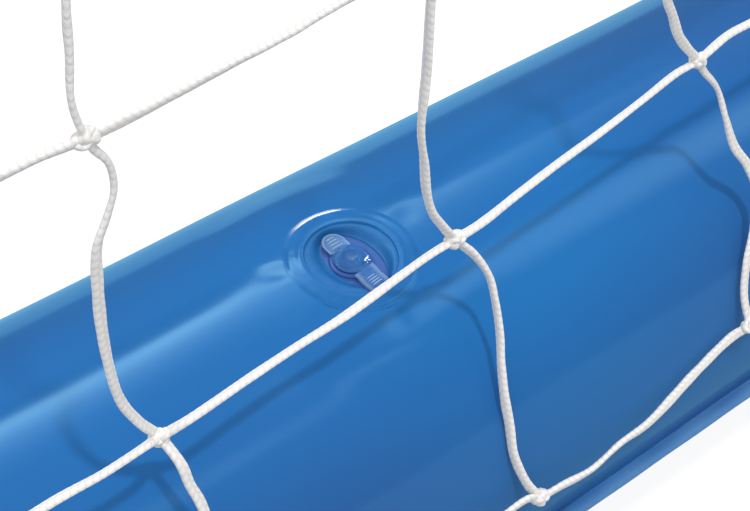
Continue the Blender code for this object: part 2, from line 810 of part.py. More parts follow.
def make_plug(which, matrix, parts, cutters):
    name = f"valve_{which}_plug"
    under = STEM_TOP + GAP
    turn = matrix @ Matrix.Rotation(math.radians(VALVE_TURN), 4, "Z")
    profile = [
        (0.0, CAP_TOP - DIMPLE_DEEP),
        (DIMPLE_FLAT_R, CAP_TOP - DIMPLE_DEEP),
        (DIMPLE_R, CAP_TOP),
        (CAP_R - CAP_EDGE, CAP_TOP),
        (CAP_R, CAP_TOP - CAP_EDGE),
        (CAP_R, under),
        (PLUG_ROOT_R, under),
        (PLUG_TIP_R, PLUG_END),
        (0.0, PLUG_END),
    ]
    plug = turned(name, profile, PLUG_SIDES, parts, turn)
    strap_under = FLOOR_TOP + GAP
    strap_top = strap_under + STRAP_THICK
    high, low = STRAP_BEND
    bend = [
        (STRAP_LAP, under + STRAP_THICK),
        (high, under + STRAP_THICK),
        (low, strap_top),
        (STRAP_HINGE, strap_top),
        (STRAP_HINGE, strap_under),
        (low, strap_under),
        (high, under + STRAP_RISE),
        (STRAP_LAP, under + STRAP_RISE),
    ]
    across = turn @ axes((0.0, -1.0, 0.0), (0.0, 0.0, 1.0), (-1.0, 0.0, 0.0), (0.0, 0.0, 0.0))
    strap = flat_outline(name + "_strap", [bend], STRAP_WIDE, cutters, across)
    half = TAB_WIDE / 2
    arc = [polar(half, 180.0 * step / 8) for step in range(9)]
    outline = [(half, STRAP_LAP)] + [(x, TAB_LONG - half + y) for x, y in arc] + [(-half, STRAP_LAP)]
    tab_level = turn @ Matrix.Translation((0.0, 0.0, under + PULL_RISE + PULL_THICK / 2))
    tab = flat_outline(name + "_tab", [outline], PULL_THICK, cutters, tab_level)
    join(plug, as_cutter(strap))
    join(plug, as_cutter(tab))
    plug.data.materials.append(finish_material(name + "_vinyl", "clear", 0.12))
    return plug


def make_flap(which, matrix, parts):
    top = STEM_END - GAP
    flap = cylinder(f"valve_{which}_flap", FLAP_R, top - FLAP_THICK, top, 16, parts, matrix)
    flap.data.materials.append(finish_material(f"valve_{which}_flap_vinyl", "clear", 0.2))
    return flap


def make_valve(which, matrix, skin, parts, cutters):
    hole = cylinder(f"valve_{which}_hole", SKIN_HOLE_R, -0.02, 0.02, VALVE_SIDES, cutters, matrix)
    cut(skin, as_cutter(hole))
    make_flange(which, matrix, parts, cutters)
    make_stem(which, matrix, parts)
    make_plug(which, matrix, parts, cutters)
    make_flap(which, matrix, parts)


def print_joint_places():
    """The joints' places and axes, for whoever rigs the set."""
    for which, matrix in valve_places().items():
        turn = matrix @ Matrix.Rotation(math.radians(VALVE_TURN), 4, "Z")
        hinge = turn @ Vector((0.0, -STRAP_HINGE + HINGE_IN, FLOOR_TOP + GAP + STRAP_THICK / 2))
        flap = matrix @ Vector((0.0, FLAP_R, STEM_END - GAP - FLAP_THICK / 2))
        print(which, "out", [round(v, 5) for v in matrix.col[2][:3]])
        print(which, "plug hinge", [round(v, 5) for v in hinge], [round(v, 5) for v in turn.col[0][:3]])
        print(which, "flap hinge", [round(v, 5) for v in flap], [round(v, 5) for v in matrix.col[0][:3]])


def build():
    clear_scene()
    parts = new_collection("pool_volleyball_net")
    cutters = new_collection("cutters")
    skins = {"base": make_base_tube(parts, cutters)}
    for name, side in SIDES.items():
        skins[name] = make_float(name, side, parts, cutters)
        make_post(name, side, parts, cutters)
    make_net(parts)
    for name, side in SIDES.items():
        for level, height in TAB_HEIGHTS.items():
            centre = eyelet_centre(side, height)
            front = axes((1.0, 0.0, 0.0), (0.0, 0.0, 1.0), (0.0, -1.0, 0.0), centre)
            make_tab(f"tab_{name}_{level}", side, height, parts, cutters)
            make_eyelet(f"eyelet_{name}_{level}", TAB_THICK / 2, front, parts)
            make_tie(f"tie_{name}_{level}", side, level, parts, cutters)
        for end, sign in (("front", -1), ("back", 1)):
            centre = (side * FLOAT_X, sign * (DEPTH / 2 - TONGUE_R), FLOAT_Z)
            make_eyelet(f"anchor_eyelet_{name}_{end}", LIP_THICK / 2, Matrix.Translation(centre), parts)
    for which, matrix in valve_places().items():
        make_valve(which, matrix, skins[which], parts, cutters)
    shade(parts)
    print_joint_places()


build()
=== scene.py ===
"""Inflatable pool volleyball net: blue film, knotted braid and clear valves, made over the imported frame.

Everything is in metres. +X runs along the net, -Y is the front and +Z is up.
"""

import math

import bmesh
import bpy
import numpy as np
from mathutils import Matrix, Vector


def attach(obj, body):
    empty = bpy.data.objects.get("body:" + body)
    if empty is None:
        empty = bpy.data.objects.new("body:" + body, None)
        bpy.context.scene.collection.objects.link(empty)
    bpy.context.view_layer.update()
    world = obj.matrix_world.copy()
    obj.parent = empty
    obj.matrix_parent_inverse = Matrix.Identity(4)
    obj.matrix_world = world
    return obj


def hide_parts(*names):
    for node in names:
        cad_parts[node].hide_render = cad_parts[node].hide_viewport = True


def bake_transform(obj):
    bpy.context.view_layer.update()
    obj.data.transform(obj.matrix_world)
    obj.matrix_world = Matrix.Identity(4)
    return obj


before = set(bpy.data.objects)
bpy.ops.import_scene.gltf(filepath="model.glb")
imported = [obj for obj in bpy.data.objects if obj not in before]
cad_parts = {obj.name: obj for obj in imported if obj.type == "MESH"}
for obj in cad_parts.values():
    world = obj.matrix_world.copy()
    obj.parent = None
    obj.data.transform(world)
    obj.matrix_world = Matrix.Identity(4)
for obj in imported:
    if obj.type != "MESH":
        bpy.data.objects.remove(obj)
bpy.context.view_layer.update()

# Studio
# A close look down onto the base tube's valve, from the front left. A high soft sun drops the net's shadows
# and a small lamp draws the crescents on the valves' welds. Ground and sky are white where they are seen and
# light gently. Gloss meets a dim sky with a long soft box along the tube and a fainter one in front of it.

VALVE_SPOT = Vector((0.483, -0.012, 0.141))


def turned_to(way, across, at):
    """A turn whose Z points along way and whose X lies along across, as far as that is square to it."""
    z = Vector(way).normalized()
    x = Vector(across)
    x = (x - z * x.dot(z)).normalized()
    turn = Matrix((x, z.cross(x), z)).transposed().to_4x4()
    turn.translation = at
    return turn


def in_scene(name, data):
    """A new object in the scene, for this mesh, lamp or camera."""
    item = bpy.data.objects.new(name, data)
    bpy.context.scene.collection.objects.link(item)
    return item


def light_box(name, way, distance, wide, tall, glow):
    """A flat lamp that faces the valve. Its power is pi times its area times the glow that it shows."""
    lamp = bpy.data.lights.new(name, "AREA")
    lamp.shape = "RECTANGLE"
    lamp.size = wide
    lamp.size_y = tall
    lamp.energy = math.pi * wide * tall * glow
    way = Vector(way).normalized()
    item = in_scene(name, lamp)
    item.matrix_world = turned_to(way, (-way.y, way.x, 0.0), VALVE_SPOT + way * distance)
    item.visible_camera = False
    return item


camera = in_scene("camera", bpy.data.cameras.new("camera"))
camera.data.lens = 80.0
camera.data.clip_start = 0.01
camera.matrix_world = turned_to((-0.4895, -0.5833, 0.6481), (0.766, -0.643, 0.0), (0.254, -0.2955, 0.451))
bpy.context.scene.camera = camera
bpy.context.scene.view_settings.view_transform = "Standard"

weld_rings = bpy.data.collections.new("weld_rings")
crescents = light_box("crescent_light", (0.356, 0.907, 0.256), 1.6, 0.84, 0.26, 14.0)
crescents.light_linking.receiver_collection = weld_rings
clear_parts = bpy.data.collections.new("clear_parts")
glints = light_box("glint_light", (0.89, -0.09, 0.44), 1.6, 0.26, 0.26, 45.0)
glints.light_linking.receiver_collection = clear_parts

sun = in_scene("high_sun", bpy.data.lights.new("high_sun", "SUN"))
sun.data.energy = 1.05
sun.data.angle = math.radians(4.0)
sun.matrix_world = turned_to((0.02, -0.35, 0.935), (1.0, 0.0, 0.0), VALVE_SPOT)
sun.visible_glossy = False


def maths(tree, operation, *values):
    """One maths node of that operation, from numbers and from other nodes' outputs."""
    node = tree.nodes.new("ShaderNodeMath")
    node.operation = operation
    for socket, value in zip(node.inputs, values):
        if isinstance(value, (int, float)):
            socket.default_value = value
        else:
            tree.links.new(value, socket)
    return node.outputs[0]


def tinted(tree, colour, other, share):
    """A colour that goes from one to the other by share."""
    node = tree.nodes.new("ShaderNodeMix")
    node.data_type = "RGBA"
    sockets = (node.inputs["A"], colour), (node.inputs["B"], other), (node.inputs["Factor"], share)
    for socket, value in sockets:
        if isinstance(value, tuple):
            socket.default_value = (*value, 1.0)
        elif isinstance(value, (int, float)):
            socket.default_value = value
        else:
            tree.links.new(value, socket)
    return node.outputs["Result"]


def apart(tree, value):
    """The X, Y and Z of a place."""
    parts = tree.nodes.new("ShaderNodeSeparateXYZ")
    tree.links.new(value, parts.inputs[0])
    return list(parts.outputs)


def looked_at(tree):
    """1 for a ray from the camera or through clear vinyl, and 1 for a ray from a gloss."""
    path = tree.nodes.new("ShaderNodeLightPath")
    seen = maths(tree, "MAXIMUM", path.outputs["Is Camera Ray"], path.outputs["Is Transmission Ray"])
    return seen, path.outputs["Is Glossy Ray"]


def eased(tree, value, low, high, at_low, at_high):
    """From one strength to another as the value goes from low to high, slow at both ends."""
    node = tree.nodes.new("ShaderNodeMapRange")
    node.interpolation_type = "SMOOTHSTEP"
    for label, number in (("From Min", low), ("From Max", high), ("To Min", at_low), ("To Max", at_high)):
        node.inputs[label].default_value = number
    tree.links.new(value, node.inputs["Value"])
    return node.outputs["Result"]


# The soft boxes lie along X, so their glow goes by how far a ray leans back as it rises: its Y over its Z.
DIM_SKY = 0.20
BRIGHTEST = 7.0
BOX_GLOW = (
    (-0.97, 0.0), (-0.90, 0.9), (-0.80, 0.9), (-0.72, 0.0), (-0.62, 0.0), (-0.42, 1.6), (-0.26, 1.6),
    (-0.12, 0.0), (0.10, 0.0), (0.26, 0.5), (0.42, 2.1), (0.54, 5.0), (0.61, 7.0), (0.655, 6.0), (0.675, 0.0),
)
world = bpy.data.worlds.new("studio")
bpy.context.scene.world = world
world.use_nodes = True
tree = world.node_tree
seen, glossy = looked_at(tree)
where = tree.nodes.new("ShaderNodeTexCoord")
x, y, z = apart(tree, where.outputs["Generated"])
lean = maths(tree, "DIVIDE", y, maths(tree, "MAXIMUM", z, 0.02))
ramp = tree.nodes.new("ShaderNodeValToRGB")
tree.links.new(maths(tree, "MULTIPLY_ADD", lean, 0.5, 0.5), ramp.inputs[0])
ramp.color_ramp.elements[1].color = (0.0, 0.0, 0.0, 1.0)
for at, strength in BOX_GLOW:
    stop = ramp.color_ramp.elements.new((at + 1.0) / 2.0)
    stop.color = (*[strength / BRIGHTEST] * 3, 1.0)
# By a ray's X, the front box fades in and the back one out. The front's lowest band fades out too.
front_end = eased(tree, x, 0.38, 0.54, 0.0, 1.0)
back_end = eased(tree, x, 0.36, 0.64, 1.0, 0.05)
low = maths(tree, "LESS_THAN", lean, -0.68)
front_end = maths(tree, "MULTIPLY_ADD", low, maths(tree, "MULTIPLY_ADD", front_end, -2.0, 1.0), front_end)
behind = maths(tree, "GREATER_THAN", lean, 0.0)
ends = maths(tree, "MULTIPLY_ADD", behind, maths(tree, "SUBTRACT", back_end, front_end), front_end)
boxes = maths(tree, "MULTIPLY", maths(tree, "MULTIPLY", ramp.outputs[0], BRIGHTEST), ends)
boxes = maths(tree, "ADD", boxes, DIM_SKY)
# The sky lights by 0.34 at its foot and 1.24 overhead, and is plain white where it is seen.
light = maths(tree, "MULTIPLY_ADD", maths(tree, "MAXIMUM", z, 0.0), 0.90, 0.34)
glow = maths(tree, "MULTIPLY_ADD", seen, maths(tree, "SUBTRACT", 1.0, light), light)
glow = maths(tree, "MULTIPLY_ADD", glossy, maths(tree, "SUBTRACT", boxes, light), glow)
sky = tree.nodes["Background"].inputs
tree.links.new(glow, sky["Strength"])
tree.links.new(tinted(tree, (1.0, 1.0, 1.0), (0.45, 0.88, 1.0), glossy), sky["Color"])


def new_material(name):
    """A new material, its nodes and its shader."""
    made = bpy.data.materials.new(name)
    made.use_nodes = True
    return made, made.node_tree, made.node_tree.nodes["Principled BSDF"]


GROUND_HALF = 9.0
GROUND_Z = -0.0003
ground_mesh = bpy.data.meshes.new("ground")
sides = ((-1, -1), (1, -1), (1, 1), (-1, 1))
corners = [(GROUND_HALF * x, GROUND_HALF * y, GROUND_Z) for x, y in sides]
ground_mesh.from_pydata(corners, [], [(0, 1, 2, 3)])
ground = in_scene("ground", ground_mesh)
ground_paint, tree, shader = new_material("pale_ground")
tree.nodes.remove(shader)
seen, glossy = looked_at(tree)
matte = tree.nodes.new("ShaderNodeBsdfDiffuse")
lit = tree.nodes.new("ShaderNodeEmission")
both = tree.nodes.new("ShaderNodeAddShader")
pale = tinted(tree, (0.50, 0.50, 0.50), (0.17, 0.17, 0.17), seen)
tree.links.new(tinted(tree, pale, (0.20, 0.52, 0.74), glossy), matte.inputs["Color"])
tree.links.new(maths(tree, "MULTIPLY", seen, 0.90), lit.inputs["Strength"])
tree.links.new(matte.outputs[0], both.inputs[0])
tree.links.new(lit.outputs[0], both.inputs[1])
tree.links.new(both.outputs[0], tree.nodes["Material Output"].inputs["Surface"])
ground_mesh.materials.append(ground_paint)

# Net
# 31 m of soft white braid, 3 mm wide and 2 mm thick, knotted by hand into 100 mm meshes. It hangs slack
# from its corners and lies over the tube's front, so each cord turns as it goes and bows to one side.

ROOT = "frame_and_net"
BASE_Z = 0.072
CELLS_WIDE = 20
CELLS_HIGH = 7
NET_HALF = 0.975
NET_Y = -0.043
FOOT_CORNER_Z = 0.205
HEAD_CORNER_Z = 0.821
DRAPE_R = 0.0752
ROW_SHARE = np.array([84.0, 93.0, 96.5, 96.5, 97.0, 97.0, 97.0])
STITCH = 0.0021
CORD_HALF_WIDE = 0.00150
CORD_HALF_THICK = 0.00095
KNOT_NUDGES = {
    (14, 2): (-0.0054, 0.0016),
    (14, 1): (-0.0025, -0.0007),
    (15, 2): (-0.0111, 0.0),
    (15, 1): (0.0024, -0.0040),
    (15, 0): (0.0063, -0.0004),
    (16, 2): (-0.0146, 0.0),
    (16, 1): (-0.0065, 0.0027),
    (16, 0): (0.0050, -0.0032),
}
# Where a cord leaves the straight line between its knots: the share of the way, and mm along X, Y and Z.
RISING = {
    (14, 2): ((0.1, -2.7, 0, 0), (0.22, -2.4, 0, 0), (0.34, -2.3, 0, 0), (0.85, 2, 0, 0)),
    (14, 1): (
        (0.083, -3.9, 0, 0), (0.173, -7, 0, 0), (0.243, -8, 0, 0), (0.42, -7.7, 0, 0),
        (0.584, -5.8, 0, 0), (0.701, -3.4, 0, 0), (0.767, 0.4, 0, 0), (0.835, 3.6, 0, 0),
        (0.912, 3.7, 0, 0), (0.968, 1, 0, 0),
    ),
    (14, 0): (
        (0.12, -2, -2, 0), (0.5, 1.2, -3.8, 1), (0.765, 2.4, -3.9, 1.6), (0.844, 1.4, -3.8, 1.6),
        (0.916, 1.1, -3.8, 1.6),
    ),
    (15, 1): (
        (0.076, -3.8, 0, 0), (0.151, -7, 0, 0), (0.24, -8.4, 0, 0), (0.358, -8.3, 0, 0),
        (0.465, -8.5, 0, 0), (0.661, -5.1, 0, 0), (0.86, -2.3, 0, 0),
    ),
    (15, 0): (
        (0.073, -2.7, 0, 0), (0.203, -4, 0, 0), (0.317, -2.1, 0, 0), (0.405, -0.9, 0, 0),
        (0.521, 1.5, 0, 0), (0.635, 4.6, 0, 0), (0.736, 6.3, 0, 0), (0.826, 7, 0, 0),
        (0.915, 4.7, 0, 0),
    ),
    (16, 1): (
        (0.073, -5.3, 0, 0), (0.14, -9.4, 0, 0), (0.23, -12.5, 0, 0), (0.32, -15.4, 0, 0),
        (0.55, -11, 0, 0), (0.8, -4, 0, 0),
    ),
    (16, 0): (
        (0.099, 1.9, 1.9, -0.6), (0.209, 6.1, 2.3, -0.7), (0.31, 12.3, 2.8, -0.5),
        (0.422, 16.8, 3.2, -0.3), (0.53, 15.7, 3.6, -0.5), (0.627, 11.7, 3.8, -0.7),
        (0.735, 10.7, 4.1, -0.7), (0.841, 9.9, 4.4, -0.8), (0.944, 3.1, 1.7, -0.3),
    ),
}
RUNNING = {
    (14, 0): ((0.5, 0, -1, 2.5), (0.939, 0, 0, 4.1)),
    (15, 0): (
        (0.087, 0.2, -1, -1), (0.213, 0.4, -1.6, -3.8), (0.35, 0.3, -1.2, -3.5),
        (0.496, 0.4, -0.7, -5.8), (0.753, 0, 1.2, -3.4), (0.931, 0, 1.7, -1.6),
    ),
    (13, 1): ((0.3, 0, -1.5, 2), (0.669, 0, -3, 4.7), (0.814, 0, -3.5, 4), (0.932, 0, -3.5, 4.2)),
    (14, 1): (
        (0.071, 0, -3.1, 3.2), (0.277, 0, -1.5, 1.5), (0.444, 0, 0, -0.5), (0.603, 0, 0, -1.1),
        (0.798, 0, 0, 0), (0.91, 0, 0, 0.5),
    ),
    (15, 1): (
        (0.098, 0, 0, -1.1), (0.25, 0, 0, -0.4), (0.406, 0, 0, 0), (0.566, 0, 0, -0.1),
        (0.77, 0, 0, 0.5), (0.896, 0, 0, 1.2),
    ),
    (13, 2): (
        (0.12, 0, 0, 0.5), (0.25, 0, 0, 1), (0.4, 0, 0, 1.6), (0.55, 0, 0, 1.8), (0.7, 0, 0, 1.2),
        (0.85, 0, 0, 1.2),
    ),
    (14, 2): (
        (0.12, 0, 0, -0.5), (0.25, 0, 0, -0.4), (0.4, 0, 0, -0.4), (0.55, 0, 0, -0.4), (0.7, 0, 0, 0.5),
        (0.85, 0, 0, 0.2),
    ),
    (16, 1): (
        (0.12, 0, 0, 1.7), (0.25, 0, 0, 0), (0.4, 0, 0, 0), (0.55, 0, 0, 0), (0.7, 0, 0, 0),
        (0.85, 0, 0, 0),
    ),
}
# How a seen cord lies: mm along it of the first place, and from there, every 9 mm, how far it is turned and
# its share of the usual size.
TURNS = {
    ("rising", 14): (
        72,
        (0.35, 0.1, 0.45, 0.8, 0.52, 0.45, 0.45, 0.3, -0.05, -0.02, 0.75, 0.88, 1.08, 1.1, 1.1, 1.1, 1.1),
        (1, 1, 1, 1, 1, 1, 1.01, 1.01, 1, 1, 1, 0.84, 0.84, 1, 0.91, 0.92, 1.01),
    ),
    ("rising", 15): (
        6,
        (-0.73, -1.05, -1.4, -1.15, -1.38, -1.6, -1.6, -1.6, -1.6, -1, -1.15, -1.18, -1.6, -1.38, -1.6,
         -1.6, -1.55, -1.6, -1.6),
        (1, 1, 1, 1, 1, 0.96, 0.95, 0.9, 0.95, 1.01, 1, 1, 0.95, 1, 0.84, 0.84, 1.01, 1, 0.98),
    ),
    ("rising", 16): (
        57,
        (0, -0.02, 0.73, 0.9, 0.75, 0.275, -0.2, -0.35, -0.05),
        (1, 1, 0.96, 0.96, 1, 1, 1, 1, 1),
    ),
    ("running", 2): (
        1362,
        (0.83, 0.98, 0.55, 0.48, 0.65, 0.67, 0.83, 1, 1, 1),
        (1, 1, 1, 1, 1, 1, 1, 1, 0.93, 0.94),
    ),
    ("running", 1): (
        1361,
        (-1.6, -1.6, -1.6, -1.6, -1.6, -1.6, -1.6, -1.6, -1.6, -1.6, -1.6, -1.48, -1.5, -1.6, -1.6,
         -1.45, -1.5, -1.6, -1.6, -1.6, -1.6, -1.6, -1.6, -1.6, -1.6, -1.6, -1.6, -1.55),
        (1, 0.9, 0.88, 0.88, 0.99, 0.98, 0.96, 0.97, 0.93, 0.92, 0.98, 1, 0.99, 0.91, 0.92, 1, 1, 0.96,
         0.97, 0.95, 0.96, 0.93, 0.85, 0.84, 0.91, 0.91, 0.97, 1),
    ),
    ("running", 0): (
        1505,
        (0.52, 0.38, 0.67, 0.67, 0.5, 0.1, -0.25, -0.35, -0.45, -0.35),
        (1, 1, 1, 1.01, 1, 1, 1, 1, 1, 1),
    ),
}
NEAR_STEP = 0.00045
FAR_STEP = 0.0021


def net_height(share, x):
    """Foot and head lines sag as powers of the distance from the middle. A row lies between by its share."""
    out = np.abs(x) / NET_HALF
    foot = FOOT_CORNER_Z - 0.150 * (1.0 - out**2.8)
    head = HEAD_CORNER_Z - 0.110 * (1.0 - out**2.0)
    return foot + (head - foot) * share


def net_front(height):
    """The net's plane, or the circle of DRAPE_R round the tube's axis where that stands further forward."""
    return np.minimum(NET_Y, -np.sqrt(np.maximum(DRAPE_R**2 - (height - BASE_Z) ** 2, 0.0)))


def lengths(points):
    """How far along a line each of its points is."""
    return np.concatenate(([0.0], np.cumsum(np.linalg.norm(np.diff(points, axis=0), axis=1))))


def net_knots():
    """Knots at equal lengths along each row, drifting a little, as an array of column by row by place."""
    shares = np.concatenate(([0.0], np.cumsum(ROW_SHARE))) / ROW_SHARE.sum()
    line = np.linspace(-NET_HALF, NET_HALF, 801)
    places = np.zeros((CELLS_WIDE + 1, CELLS_HIGH + 1, 3))
    column = np.arange(CELLS_WIDE + 1)
    inner = (column > 0) & (column < CELLS_WIDE)
    for row, share in enumerate(shares):
        length = lengths(np.stack((line, net_height(share, line)), -1))
        x = np.interp(np.linspace(0.0, length[-1], CELLS_WIDE + 1), length, line)
        lift = 0.0030 * np.sin(1.9 * column - 2.6 * row + 0.8) * inner * (0 < row < CELLS_HIGH)
        drift = 0.0035 * np.sin(2.3 * column + 1.7 * row) * inner
        nudge = np.array([KNOT_NUDGES.get((c, row), (0.0, 0.0)) for c in column])
        places[:, row, 0] = x + drift + nudge[:, 0]
        places[:, row, 2] = net_height(share, x) + lift + nudge[:, 1]
    places[..., 1] = net_front(places[..., 2])
    return places


def bent_line(start, end, bends):
    """Points between two knots: the straight line's, moved by the bends."""
    bends = np.array(bends, float)
    return start + (end - start) * bends[:, :1] + bends[:, 1:] / 1000.0


def smooth_route(points, step):
    """A smooth curve through the points, at equal steps of length, whose slope at each is its neighbours'.

    Also gives, for each step, how many of the points it has passed and how far along it is.
    """
    knot = np.concatenate(([0.0], np.cumsum(np.linalg.norm(np.diff(points, axis=0), axis=1) ** 0.5)))
    slope = np.gradient(points, knot, axis=0)
    at = np.linspace(0.0, knot[-1], 30 * len(points))
    k = np.clip(np.searchsorted(knot, at, "right") - 1, 0, len(knot) - 2)
    span = (knot[k + 1] - knot[k])[:, None]
    s = (at - knot[k])[:, None] / span
    curve = (2 * s**3 - 3 * s**2 + 1) * points[k] + (s**3 - 2 * s**2 + s) * span * slope[k]
    curve = curve + (3 * s**2 - 2 * s**3) * points[k + 1] + (s**3 - s**2) * span * slope[k + 1]
    length = lengths(curve)
    even = np.linspace(0.0, length[-1], int(length[-1] / step) + 2)
    route = np.stack([np.interp(even, length, curve[:, axis]) for axis in range(3)], -1)
    return route, np.interp(even, length, k + s[:, 0]), even


def braid_skin(route, along, face, turn, wide, thick, sides, relief):
    """A flat oval carried along a route and turned about it, as a grid, and each point's place in the braid.

    The oval is the cosine and sine of the angle round it, times half the width and half the thickness. It is
    swelled by plaits that lean away from a groove down each face.
    """
    way = np.gradient(route, axis=0)
    way /= np.linalg.norm(way, axis=1, keepdims=True)
    up = face - way * (face * way).sum(1, keepdims=True)
    up /= np.linalg.norm(up, axis=1, keepdims=True)
    side = np.cross(way, up)
    cos, sin = np.cos(turn)[:, None], np.sin(turn)[:, None]
    up, side = up * cos + side * sin, side * cos - up * sin
    around = np.linspace(0.0, 2.0 * math.pi, sides + 1)
    c, s = np.cos(around), np.sin(around)
    stitch = (along / STITCH)[:, None] + 0.45 * np.abs(c) + 0.5 * (c > 0.0)
    plump = np.abs(np.sin(math.pi * stitch)) ** 0.7 * np.minimum(1.0, 2.6 * np.abs(c) + 0.15) - 0.6
    swell = 1.0 + relief * plump
    across = np.sign(c) * np.abs(c) ** 0.9 * (1.0 + 0.35 * (swell - 1.0)) * np.reshape(wide, (-1, 1))
    deep = np.sign(s) * np.abs(s) ** 0.8 * swell * np.reshape(thick, (-1, 1))
    grid = route[:, None] + side[:, None] * across[..., None] + up[:, None] * deep[..., None]
    grid[0] = route[0]
    grid[-1] = route[-1]
    place = np.stack(np.broadcast_arrays(around / (2.0 * math.pi), (along / STITCH)[:, None]), -1)
    return grid, place


def quads(rows, columns, skip=None):
    """The four corners of each cell of a grid that is counted row by row, without the cells of skip."""
    i, j = np.meshgrid(np.arange(rows - 1), np.arange(columns - 1), indexing="ij")
    at = i * columns + j
    cells = np.stack((at, at + columns, at + columns + 1, at + 1), -1)
    return cells.reshape(-1, 4) if skip is None else cells[~skip]


def piece(name, grids, material, body=ROOT, uv=None, marks=None, skip=None):
    """One piece from grids of points, the first without the cells of skip.

    Points that meet are made one, and the faces are turned outwards.
    """
    start = np.cumsum([0] + [grid.size // 3 for grid in grids])
    points = np.concatenate([grid.reshape(-1, 3) for grid in grids])
    skips = [skip] + [None] * len(grids)
    faces = [quads(*grid.shape[:2], gap) + first for grid, gap, first in zip(grids, skips, start)]
    mesh = bpy.data.meshes.new(name)
    mesh.from_pydata(points.tolist(), [], np.concatenate(faces).tolist())
    if uv is not None:
        corner = np.empty(len(mesh.loops), np.int32)
        mesh.loops.foreach_get("vertex_index", corner)
        layer = mesh.uv_layers.new(name="place")
        flat = np.concatenate([part.reshape(-1, 2) for part in uv])
        layer.data.foreach_set("uv", flat[corner].ravel())
    for label, values in (marks or {}).items():
        mark = mesh.attributes.new(label, "FLOAT", "POINT")
        mark.data.foreach_set("value", np.concatenate([np.ravel(part) for part in values]))
    shape = bmesh.new()
    shape.from_mesh(mesh)
    bmesh.ops.remove_doubles(shape, verts=shape.verts, dist=0.000002)
    bmesh.ops.dissolve_degenerate(shape, edges=shape.edges, dist=0.0000001)
    bmesh.ops.recalc_face_normals(shape, faces=shape.faces)
    shape.to_mesh(mesh)
    shape.free()
    mesh.shade_smooth()
    mesh.materials.append(material)
    item = in_scene(name, mesh)
    if body:
        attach(item, body)
    return item


def noise(tree, scale, detail):
    """Even noise in the object's own places."""
    where = tree.nodes.new("ShaderNodeTexCoord")
    node = tree.nodes.new("ShaderNodeTexNoise")
    node.inputs["Scale"].default_value = scale
    node.inputs["Detail"].default_value = detail
    tree.links.new(where.outputs["Object"], node.inputs["Vector"])
    return node.outputs["Fac"]


def pattern(name, takes, gives):
    """A new node group, with the sockets for what it takes and for what it gives."""
    group = bpy.data.node_groups.new(name, "ShaderNodeTree")
    for way, sockets in (("INPUT", takes), ("OUTPUT", gives)):
        for label, kind in sockets.items():
            group.interface.new_socket(label, in_out=way, socket_type="NodeSocket" + kind)
    return group, group.nodes.new("NodeGroupInput").outputs, group.nodes.new("NodeGroupOutput").inputs


def bumpy(tree, height, shader):
    """Lets a height stand out of the surface."""
    bump = tree.nodes.new("ShaderNodeBump")
    bump.inputs["Distance"].default_value = 1.0
    tree.links.new(height, bump.inputs["Height"])
    tree.links.new(bump.outputs[0], shader.inputs["Normal"])


def patterned(name, group, looks, settings):
    """A material that wears a pattern with these looks, over a shader with these settings."""
    made, tree, shader = new_material(name)
    look = tree.nodes.new("ShaderNodeGroup")
    look.node_tree = group
    for label, value in looks.items():
        look.inputs[label].default_value = (*value, 1.0) if isinstance(value, tuple) else value
    for label, value in settings.items():
        shader.inputs[label].default_value = value
    tree.links.new(look.outputs["Color"], shader.inputs["Base Color"])
    if "Roughness" in look.outputs:
        tree.links.new(look.outputs["Roughness"], shader.inputs["Roughness"])
    bumpy(tree, look.outputs["Height"], shader)
    return made


def braid_pattern():
    """Plaits in a V on each face, as in the cord's own shape, with the strands that run along each plait."""
    colours = {"Cord": "Color", "Groove Shade": "Color"}
    group, start, end = pattern("soft_braid", colours, {"Color": "Color", "Height": "Float"})
    place = group.nodes.new("ShaderNodeUVMap")
    place.uv_map = "place"
    around, stitches = apart(group, place.outputs[0])[:2]
    c = maths(group, "COSINE", maths(group, "MULTIPLY", around, 2.0 * math.pi))
    off = maths(group, "ABSOLUTE", c)
    half = maths(group, "MULTIPLY", maths(group, "GREATER_THAN", c, 0.0), 0.5)
    stitch = maths(group, "ADD", maths(group, "MULTIPLY_ADD", off, 0.45, stitches), half)
    crown = maths(group, "ABSOLUTE", maths(group, "SINE", maths(group, "MULTIPLY", stitch, math.pi)))
    groove = maths(group, "MINIMUM", maths(group, "MULTIPLY_ADD", off, 2.6, 0.15), 1.0)
    plump = maths(group, "MULTIPLY", maths(group, "POWER", crown, 0.7), groove)
    lean = maths(group, "MULTIPLY_ADD", off, 30.0, maths(group, "MULTIPLY", stitches, 9.0))
    strand = maths(group, "SINE", lean)
    fuzz = noise(group, 1400.0, 3.0)
    high = maths(group, "MULTIPLY_ADD", strand, 0.00002, maths(group, "MULTIPLY", plump, 0.00006))
    group.links.new(maths(group, "MULTIPLY_ADD", fuzz, 0.00006, high), end["Height"])
    # Painted shade: the colour darkens from the plaits' crowns down into the grooves, with a little random
    # fuzz.
    bright = maths(group, "MULTIPLY_ADD", fuzz, 0.25, maths(group, "MULTIPLY", plump, 0.85))
    group.links.new(tinted(group, start["Groove Shade"], start["Cord"], bright), end["Color"])
    return group


# Bleached braid: matt and a little downy, with painted shade down in its grooves.
white_braid = patterned(
    "white_braid",
    braid_pattern(),
    {"Cord": (0.955, 0.935, 0.91), "Groove Shade": (0.76, 0.735, 0.71)},
    {"Roughness": 0.82, "Specular IOR Level": 0.25, "Sheen Weight": 0.25, "Sheen Roughness": 0.5},
)


